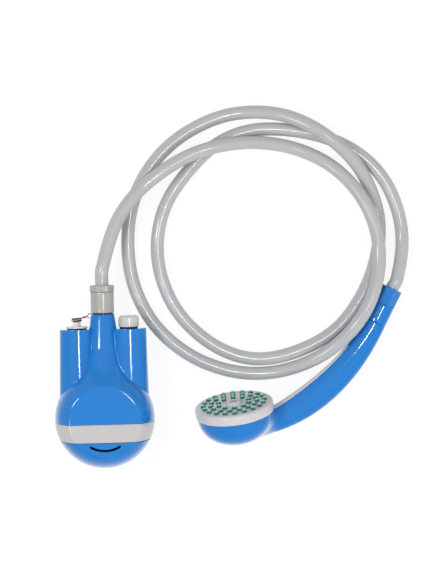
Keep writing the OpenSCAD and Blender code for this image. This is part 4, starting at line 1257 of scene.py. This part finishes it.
@dataclass(frozen=True)
class Tether:
    """The two twisted strands that hold the plug to the neck.

    Attributes:
        post: Where the post's axis stands.
        tie: The height at which the strands are tied round the post.
        wrap: The angles round the post at which a strand begins and ends, in degrees.
        rise: Its height over the tie at both.
        lift: How far either strand lies above or below the middle of the two.
        round_r: The wrap's radius.
        strand: A strand's radius.
        neck: Where the strands reach the neck, across and up.
        apart: The twist's radius at the post.
        fork: How much the strands part towards the neck.
        groove: The height of the neck's groove.
        groove_r: The radius at which the dark strand lies in it.
        groove_wrap: The angles at which it begins and ends there, in degrees.
    """

    post: tuple[float, float] = (-24.5, 0.0)
    tie: float = 94.4
    wrap: tuple[float, float] = (-128.0, 280.0)
    rise: tuple[float, float] = (-1.7, 0.9)
    lift: float = 0.4
    round_r: float = 4.45
    strand: float = 0.39
    neck: tuple[float, float] = (-12.4, 97.6)
    apart: float = 0.55
    fork: float = 4.0
    groove: float = 99.5
    groove_r: float = 10.6
    groove_wrap: tuple[float, float] = (206.0, 514.0)

    def strand_path(self, start: float, tail: float) -> Array:
        """A strand's line: a tail, a turn round the post, and one twist across to the neck.

        Args:
            start: The strand's place in the twist, in degrees.
            tail: How far its loose tip stands off the post.

        Returns:
            Points in the pump's frame.
        """
        lift = self.lift * math.sin(math.radians(start))
        way = np.radians(np.linspace(*self.wrap, 60))
        loop = about_axis(self.round_r, way, self.tie + (np.linspace(*self.rise, 60) + lift), self.post)
        tip = np.array([[self.post[0] - tail, -3.4, self.tie - 1.6 + lift]])
        share = np.linspace(0, 1, 40)
        twist = math.radians(start) + share * 2 * math.pi
        apart = self.apart + self.fork * np.clip(share - 0.45, 0, 1) ** 1.5
        across = mix(self.post[0] + 2.6, self.neck[0], share)
        aside = mix(-self.round_r, 0, share) + apart * np.cos(twist)
        up = mix(self.tie + self.rise[1], self.neck[1], share) + apart * np.sin(twist)
        return np.concatenate([tip, loop, np.stack([across, aside, up], -1)[3:]])

    def build(self) -> None:
        """Sweeps both strands; the dark one goes on round the neck."""
        neck = about_axis(self.groove_r, np.radians(np.linspace(*self.groove_wrap, 60)), self.groove)
        dark = np.concatenate([self.strand_path(90.0, 5.2), neck])
        red = self.strand_path(270.0, 3.4)
        for name, path, finish in (("tether_dark", dark, DARK_CORD), ("tether_red", red, RED_CORD)):
            line = smooth_line(PUMP.carry(path), 0.5, 0.6, 0.0)
            thing = Skin().tube(rings_along(line, self.strand, 12)).mesh(f"{name}_look", WORLD, 60.0)
            thing.data.materials.append(finish.make())
            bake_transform(thing)
            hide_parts(name)
            LOG.info("%s: %d faces, bends between pump and plug", name, len(thing.data.polygons))


@dataclass(frozen=True)
class Hose:
    """The grey hose that lies in loose turns from the pump to the hand shower.

    Attributes:
        outer: Its diameter.
        start: Where it begins in the pump's collar, on the axis.
        free: Where its free run begins, on the axis.
        lead: Where the straight run into the handle's nut begins, from the seam.
        end: Where it ends in the nut, from the seam.
        route: The points that it passes, in the row frame.
    """

    outer: float = 12.8
    start: float = 113.5
    free: float = 138.4
    lead: float = 48.5
    end: float = 13.4
    route: tuple[tuple[float, float, float], ...] = (
        (2, 147, 33), (7, 165, 31), (16.5, 189, 27), (35.5, 213.5, 21), (62, 234.5, 20.5), (89, 249, 21),
        (119, 257, 20.5), (152, 259, 14), (189, 252.5, 9), (222, 236, 13), (246, 211.5, 20),
        (261, 183, 21.5), (266.5, 153, 22.5), (262.5, 120, 25), (246, 86, 25), (217, 57, 15.5),
        (182, 40.5, 8), (145, 36, 7), (109, 43, 7), (76, 60, 7), (48, 87.5, 7), (31, 122, 7),
        (25.5, 158, 7), (28.5, 194, 7), (40, 224, 7), (58.5, 249.5, 7), (83.5, 269.5, 7), (117, 284.5, 7),
        (150, 288.5, 7.5), (180.5, 284, 14), (207.5, 271, 20.5), (230, 254, 20.5), (248, 234.5, 16),
        (261.5, 210, 8.5), (269, 182, 7), (266.5, 150.5, 7), (253.5, 114, 7), (226.5, 78, 7), (188, 57, 7),
        (146, 50, 7), (107.5, 63.5, 7), (75, 93, 7), (58, 127.5, 7), (53.5, 163, 7), (62, 200, 7),
        (84.5, 232.5, 7), (113, 258.5, 7), (146, 271, 7), (184, 270.5, 7), (220.5, 262, 7), (251, 246, 7),
        (274.5, 221, 7), (288, 188, 7), (291, 158, 8),
    )

    def path(self, seam: Place) -> Array:
        """The centre line: straight out of the collar, along the route and straight into the nut.

        Args:
            seam: The frame at the handle's end.

        Returns:
            Points of the eased line, in the row frame.
        """
        out = np.linspace([0, 0, self.start], [0, 0, self.free], 4)
        home = np.linspace([0, 0, self.lead], [0, 0, self.end], 4)
        points = np.concatenate([PUMP.carry(out), np.array(self.route, float), seam.carry(home)])
        return smooth_line(points, 2.0, 9.0, 30.0)

    def build(self, seam: Place) -> None:
        path = self.path(seam)
        skin = Skin().tube(rings_along(path, self.outer / 2, 28))
        thing = place_piece(skin, "hose", VINYL, Body.PUMP, WORLD, 60.0)


@dataclass(frozen=True)
class ShowerBody:
    """The blue bowl and handle of the hand shower, and the grey strip on the handle's inner edge.

    Attributes:
        depth: The bowl's depth below its middle.
        wide_r: The bowl's radius at its middle.
        full: How full the bowl is: 2 makes an ellipse, more bulges between rim and bottom.
        middle: The height of the bowl's middle.
        rim: The height of the bowl's rim.
        centre: The middle of the handle's bend, across and up.
        bend: The bend's radius.
        root: The angle at which the handle starts inside the bowl, in degrees.
        seam: The angle at which it ends.
        taper: The angle at which its taper starts, and the taper's length.
        widths: Its half width at the taper's ends, and the swell between them.
        thicks: Its half thickness at the taper's ends, and the swell between them.
        crease: How far the rounding at the root reaches, outside and inside the bend.
        strip: The angles at which the strip starts and ends.
        strip_w: Its half width at both.
        sunk: How deep the strip's edges lie in the handle.
    """

    depth: float = 28.9
    wide_r: float = 36.4
    full: float = 2.15
    middle: float = -10.0
    rim: float = -9.05
    centre: tuple[float, float] = (6.0, 153.4)
    bend: float = 182.0
    root: float = -91.0
    seam: float = -35.9
    taper: tuple[float, float] = (-88.0, 52.1)
    widths: tuple[float, float, float] = (9.0, 10.8, 5.2)
    thicks: tuple[float, float, float] = (9.0, 10.2, 0.8)
    crease: tuple[float, float] = (16.0, 4.0)
    strip: tuple[float, float] = (-80.4, -46.0)
    strip_w: tuple[float, float] = (3.9, 1.8)
    sunk: float = -1.5

    def halves(self, angle: Array) -> tuple[Array, Array]:
        """The handle's half width and half thickness at angles: even tapers and one swell between them."""
        share = np.maximum(angle - self.taper[0], 0) / self.taper[1]
        swell = np.maximum(np.sin(math.pi * share**0.8), 0) ** 1.3
        wide, thick = (mix(a, b, share) + c * swell for a, b, c in (self.widths, self.thicks))
        return wide, thick

    def on_axis(self, angle: Array, out: Array, side: Array) -> Array:
        """Points by the angle along the bend, the way out from the axis and the way to the side."""
        turn = np.radians(angle)
        reach = self.bend + out
        across, up = self.centre[0] + reach * np.cos(turn), self.centre[1] + reach * np.sin(turn)
        return np.stack([across, side + 0 * reach, up], -1)

    def on_handle(self, angle: Array, around: Array, grow: Array | float = 0.0) -> Array:
        """Points of the handle's skin: an ellipse across the bend's circle."""
        wide, thick = self.halves(angle)
        return self.on_axis(angle, (wide + grow) * np.cos(around), (thick + grow) * np.sin(around))

    def handle_distance(self, points: Array) -> Array:
        """Signed distance from the handle, near enough: the ellipse's measure less one, times its width."""
        x, z = points[..., 0] - self.centre[0], points[..., 2] - self.centre[1]
        wide, thick = self.halves(np.degrees(np.arctan2(z, x)))
        across = np.hypot((np.hypot(x, z) - self.bend) / wide, points[..., 1] / thick)
        return (across - 1) * thick

    def bowl_distance(self, points: Array) -> Array:
        """Signed distance from the bowl, near enough: its own measure of size less one, times its depth."""
        across = np.hypot(points[..., 0], points[..., 1]) / self.wide_r
        down = np.maximum(self.middle - points[..., 2], 0) / self.depth
        return ((across**self.full + down**self.full) ** (1 / self.full) - 1) * self.depth

    def seam_place(self) -> Place:
        """The frame at the handle's end, with its axis along the nut."""
        at = self.on_axis(np.array(self.seam), np.array(0.0), np.array(0.0))
        return HEAD.within(at, turn_about("Y", -self.seam))

    def bowl_profile(self) -> Array:
        """Radius and height from the rim down: powers of cosine and sine, so that the bowl is full."""
        power = 2 / self.full
        dip = np.linspace(0, math.pi / 2, 48)
        deep = self.middle - self.depth * np.sin(dip) ** power
        ball = np.stack([self.wide_r * np.maximum(np.cos(dip), 0) ** power, deep], -1)
        ball[-1, 0] = 0.0
        inside, rim = self.wide_r - 3, self.rim
        edge = outline([(inside, rim, 0), (self.wide_r, rim, 0.3), (self.wide_r, self.middle, 0)])
        return np.concatenate([edge, ball[1:]])

    def build_shell(self) -> None:
        """Turns the bowl, sweeps the handle and rounds the corner between them."""
        skin = Skin().spin(self.bowl_profile(), 144)
        around, clear = angles(96), -62.0
        along = np.linspace(self.root, self.seam - 0.28, 110)
        last = outline([(along[-1], 0, 0), (self.seam, 0, 0.22), (self.seam, -1, 0)])[1:]
        turn, grow = np.concatenate([along, last[:, 0]]), np.concatenate([0 * along, last[:, 1] * 3])
        skin.tube(self.on_handle(turn[:, None], around[None], grow[:, None]))
        low, high = np.full(around.shape, self.root), np.full(around.shape, clear)
        start = settle(lambda a: self.bowl_distance(self.on_handle(a, around)) < 0, low, high)
        reach = mix(*self.crease, ((1 - np.cos(around[:, None])) / 2) ** 2.5)
        line = self.on_handle(start, around)
        skin.grid(fillet(line, self.handle_distance, self.bowl_distance, reach, closed=True), loop=True)
        place_piece(skin, "head_shell", BLUE, Body.PUMP, HEAD)

    def build_strip(self) -> None:
        """Sweeps the strip: a soft band that follows the handle's inner edge and stands a little proud of it.

        Each point lies out from the handle's surface by the section's height and tapers to both ends.
        """
        first, last = self.strip
        angle = np.linspace(first, last, 70)
        end = np.clip(np.minimum(angle - first, last - angle) / 2.0, 0, 1)
        rise = np.sqrt(1 - (1 - end) ** 2)[:, None]
        wide, thick = (half[:, None] for half in self.halves(angle))
        section = outline(
            [
                (-1, self.sunk, 0), (-1, 0.1, 0.12), (-0.7, 0.6, 0.3), (0.7, 0.6, 0.3), (1, 0.1, 0.12),
                (1, self.sunk, 0),
            ],
            most=0.3,
        )
        side = section[None, :, 0] * np.linspace(*self.strip_w, 70)[:, None] * mix(0.75, 1.0, rise)
        drop = wide * (1 - np.sqrt(1 - (side / thick) ** 2))
        up = mix(self.sunk, section[None, :, 1], rise) - drop
        ring = self.on_axis(angle[:, None], -(wide + up), side)
        # The strip takes the bezel's paler grey rather than the band's: partly its own colour, partly a
        # painted highlight on its shaded inner side.
        place_piece(Skin().tube(ring), "handle_strip", BEZEL, Body.PUMP, HEAD)

    def build(self) -> None:
        """Builds the shell and the strip."""
        self.build_shell()
        self.build_strip()


@dataclass(frozen=True)
class NozzleFace:
    """The grey face of the hand shower, its teal nubs and the screw in the middle.

    Attributes:
        radius: The bezel's radius.
        depth: The bezel's height.
        soft: The bezel's rounding.
        boss: The radius of the boss in the middle.
        rise: The boss's height.
        rings: The radius and count of each ring of nubs.
    """

    radius: float = 37.5
    depth: float = 9.0
    soft: float = 2.6
    boss: float = 6.2
    rise: float = 2.4
    rings: tuple[tuple[float, int], ...] = ((15.0, 10), (22.2, 15), (29.4, 20))

    def build(self) -> None:
        """Turns the face plate, the nubs on their rings, and the screw."""
        inside, back = 34.4, -3.0
        plate = outline(
            [
                (0, back, 0), (inside, back, 0), (inside, -self.depth, 0), (self.radius, -self.depth, 0.35),
                (self.radius, 0, self.soft), (33.0, 0.0, 0.0), (self.boss + 1.2, 0, 0.6),
                (self.boss, self.rise, 0.8), (0, self.rise, 0),
            ],
            most=3.0,
            steps=10,
        )
        place_piece(Skin().spin(plate, 160), "face_plate", BEZEL, Body.PUMP, HEAD)
        nub = outline(
            [
                (0, -1.0, 0), (2.5, -1.0, 0), (2.5, 0.3, 0.2), (1.5, 2.3, 0.5), (1.1, 2.7, 0.3),
                (0.45, 2.7, 0.15), (0.4, 2.0, 0), (0, 2.0, 0),
            ],
            steps=3,
        )
        skin = Skin()
        for radius, count in self.rings:
            for spot in about_axis(radius, angles(count), 0.0):
                skin.spin(nub, 18, spot[:2])
        # The nubs' colour holds painted shade at the foot and a painted highlight at the tip.
        place_piece(skin, "nozzle_mat", TEAL_PAINTED_SHADING, Body.PUMP, HEAD, 50.0)
        screw = outline([(0, -0.85, 0), (3.8, -0.85, 0), (3.8, 2.45, 0.3), (3.0, 2.75, 0.3), (0, 2.8, 0)])
        place_piece(Skin().spin(screw, 48), "face_screw", STEEL, Body.PUMP, HEAD)


@dataclass(frozen=True)
class InnerWorks:
    """The pieces inside, which keep the meshes of the frame and get their finishes here.

    Attributes:
        finishes: Each finish and the nodes that it paints.
    """

    finishes: tuple[tuple[Finish, tuple[str, ...]], ...] = (
        (DARK_PLASTIC, ("strainer", "motor_deck", "pump_volute", "battery_tray")),
        (DARK_PLASTIC, ("switch_body", "charge_socket", "button_bushing")),
        (DARK_RUBBER, ("deck_gasket", "shaft_seal", "outlet_washer", "handle_washer", "face_seal")),
        (STEEL, ("deck_screws", "motor_shaft", "motor_can", "button_spring", "panel_nuts")),
        (WHITE, ("impeller", "motor_bell", "grip_ring", "handle_grip_ring", "outlet_pipe")),
        (CELL_WRAP, ("battery_cell_left", "battery_cell_right")),
        (BOARD, ("circuit_board",)),
        (BRASS, ("hose_barb", "handle_tail")),
    )

    def dress(self) -> None:
        """Gives each inner node its finish."""
        for finish, names in self.finishes:
            for name in names:
                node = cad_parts[name]
                node.data.materials.clear()
                node.data.materials.append(finish.make())
                LOG.info("%s: keeps its mesh, finish %s", name, finish.slot)


@dataclass(frozen=True)
class PhotoCamera:
    """The camera: high over the floor, leaning a little and turned a little.

    Attributes:
        target: The point in the middle of the picture, in millimetres.
        distance: How far the camera is from it.
        lean: Its lean from the upright, across and up the picture, in degrees.
        roll: Its turn about its own line of sight, in degrees.
        angle: Its field of view from top to bottom, in degrees.
    """

    target: tuple[float, float, float] = (111.364, 121.467, 0.0)
    distance: float = 1800.0
    lean: tuple[float, float] = (-3.0, 2.6)
    roll: float = 1.2
    angle: float = 17.487

    def build(self) -> None:
        """Sets the camera from its target, its lean and its roll."""
        back = unit(np.array([*np.tan(np.radians(self.lean)), 1.0]))
        right = unit(np.cross(-back, [0.0, 1.0, 0.0]))
        up = np.cross(right, -back)
        c, s = math.cos(math.radians(self.roll)), math.sin(math.radians(self.roll))
        pose = np.eye(4)
        pose[:3, :3] = np.stack([right * c - up * s, right * s + up * c, back], -1)
        pose[:3, 3] = (np.array(self.target) + self.distance * back) * MM
        lens = bpy.data.cameras.new("camera")
        lens.sensor_fit = "VERTICAL"
        lens.angle = math.radians(self.angle)
        lens.clip_end = 20.0
        eye = bpy.data.objects.new("camera", lens)
        eye.matrix_world = Matrix(pose.tolist())
        bpy.context.scene.collection.objects.link(eye)
        bpy.context.scene.camera = eye


@dataclass(frozen=True)
class Lamp:
    """A soft rectangular lamp, in metres and watts.

    Attributes:
        name: Its name.
        at: Where it hangs.
        size: Its two sides.
        power: Its power.
        mirrored: Whether glossy surfaces show it.
        aim: What it is turned to.
    """

    name: str
    at: tuple[float, float, float]
    size: tuple[float, float]
    power: float
    mirrored: bool = False
    aim: tuple[float, float, float] = (0.11, 0.12, 0.03)

    def build(self) -> None:
        """Hangs the lamp and turns it to its aim."""
        data = bpy.data.lights.new(self.name, "AREA")
        data.shape = "RECTANGLE"
        data.size, data.size_y = self.size
        data.energy = self.power
        lamp = bpy.data.objects.new(self.name, data)
        lamp.location = self.at
        lamp.visible_glossy = self.mirrored
        lamp.rotation_euler = (Vector(self.aim) - Vector(self.at)).to_track_quat("-Z", "Y").to_euler()
        bpy.context.scene.collection.objects.link(lamp)


@dataclass(frozen=True)
class Studio:
    """A white floor, a white surround and soft lamps.

    Attributes:
        fill: The surround's light on surfaces that don't mirror it.
        shadow: The share of the floor's shadow that is seen.
        glow: The brightness of the floor's white.
        dim: How much of the surround's light the ceiling lacks in reflections.
        rise: How fast that sets in above the horizon.
        half: Half the floor's width, in millimetres.
        lamps: The lamps.
    """

    fill: float = 0.32
    shadow: float = 0.25
    glow: float = 1.17
    dim: float = 0.55
    rise: float = 5.0
    half: float = 3000.0
    lamps: tuple[Lamp, ...] = (
        Lamp("above", (0.26, 0.09, 1.5), (0.22, 0.16), 3.4, True),
        Lamp("neck", (-0.72, 0.295, 1.4), (0.165, 0.42), 5.2, True),
        Lamp("band", (-0.74, -0.3, 1.4), (0.36, 0.26), 4.2, True),
        Lamp("back", (-0.35, 1.1, 1.1), (1.0, 0.4), 4.0),
        Lamp("front", (0.75, -1.05, 0.6), (1.6, 0.7), 8.2),
        Lamp("right", (1.3, 0.2, 0.5), (0.6, 1.2), 3.8),
        Lamp("left", (-1.2, 0.1, 0.3), (0.4, 1.2), 0.7),
    )

    def build_floor(self) -> None:
        """A wide plane that looks white and keeps part of the shadow on it."""
        corners = np.array([[[-1, -1, 0], [1, -1, 0]], [[-1, 1, 0], [1, 1, 0]]]) * self.half
        floor = Skin().grid(corners, wrap=False).mesh("floor", WORLD, 40.0)
        shade = Shade("floor")
        shade.set("Base Color", (0.6, 0.6, 0.6, 1.0))
        shade.set("Roughness", 0.9)
        shade.set("Specular IOR Level", 0.1)
        seen = shade.node("ShaderNodeLightPath", output="Is Camera Ray")
        gloss = shade.node("ShaderNodeLightPath", output="Is Glossy Ray")
        glow = shade.node("ShaderNodeEmission", {"Color": (1.0, 1.0, 1.0, 1.0), "Strength": self.glow})
        share = ((seen + gloss) * (1 - self.shadow)).clamp()
        lit = Value(shade.tree, shade.surface.outputs[0])
        both = shade.node("ShaderNodeMixShader", {0: share, 1: lit, 2: glow})
        feed(shade.tree, shade.tree.nodes["Material Output"].inputs["Surface"], both)
        floor.data.materials.append(shade.material)

    def build_world(self) -> None:
        """White to the eye and in reflections, dimmer towards the ceiling, and a soft fill elsewhere."""
        world = bpy.data.worlds.new("studio")
        world.use_nodes = True
        tree = world.node_tree
        back = tree.nodes["Background"]
        back.inputs["Color"].default_value = (1.0, 1.0, 1.0, 1.0)
        rays = tree.nodes.new("ShaderNodeLightPath").outputs
        kinds = ("Is Camera Ray", "Is Glossy Ray", "Is Transmission Ray")
        eye, gloss, through = (Value(tree, rays[kind]) for kind in kinds)
        split = tree.nodes.new("ShaderNodeSeparateXYZ")
        tree.links.new(tree.nodes.new("ShaderNodeTexCoord").outputs["Generated"], split.inputs[0])
        ceiling = (Value(tree, split.outputs["Z"]) * self.rise).clamp() * self.dim
        strength = self.fill + (eye + gloss + through).clamp() * (1 - self.fill) - gloss * ceiling
        feed(tree, back.inputs["Strength"], strength)
        bpy.context.scene.world = world

    def build(self) -> None:
        """Builds floor, surround and lamps, and shows colours as they are."""
        self.build_floor()
        self.build_world()
        for lamp in self.lamps:
            lamp.build()
        bpy.context.scene.view_settings.view_transform = "Standard"


def main() -> None:
    """Builds camera, hose, pump, hand shower, inner works and studio in order."""
    logging.basicConfig(level=logging.INFO, format="%(name)s: %(message)s")
    PhotoCamera().build()
    shower = ShowerBody()
    seam = shower.seam_place()
    Hose().build(seam)
    Tether().build()
    for piece in (Housing(), BandRing(), IntakeDome(), HoseNut(), PowerButton(), ChargePlug()):
        piece.build()
    shower.build()
    NozzleFace().build()
    HandleNut().build(seam)
    InnerWorks().dress()
    Studio().build()


if __name__ == "__main__":
    main()
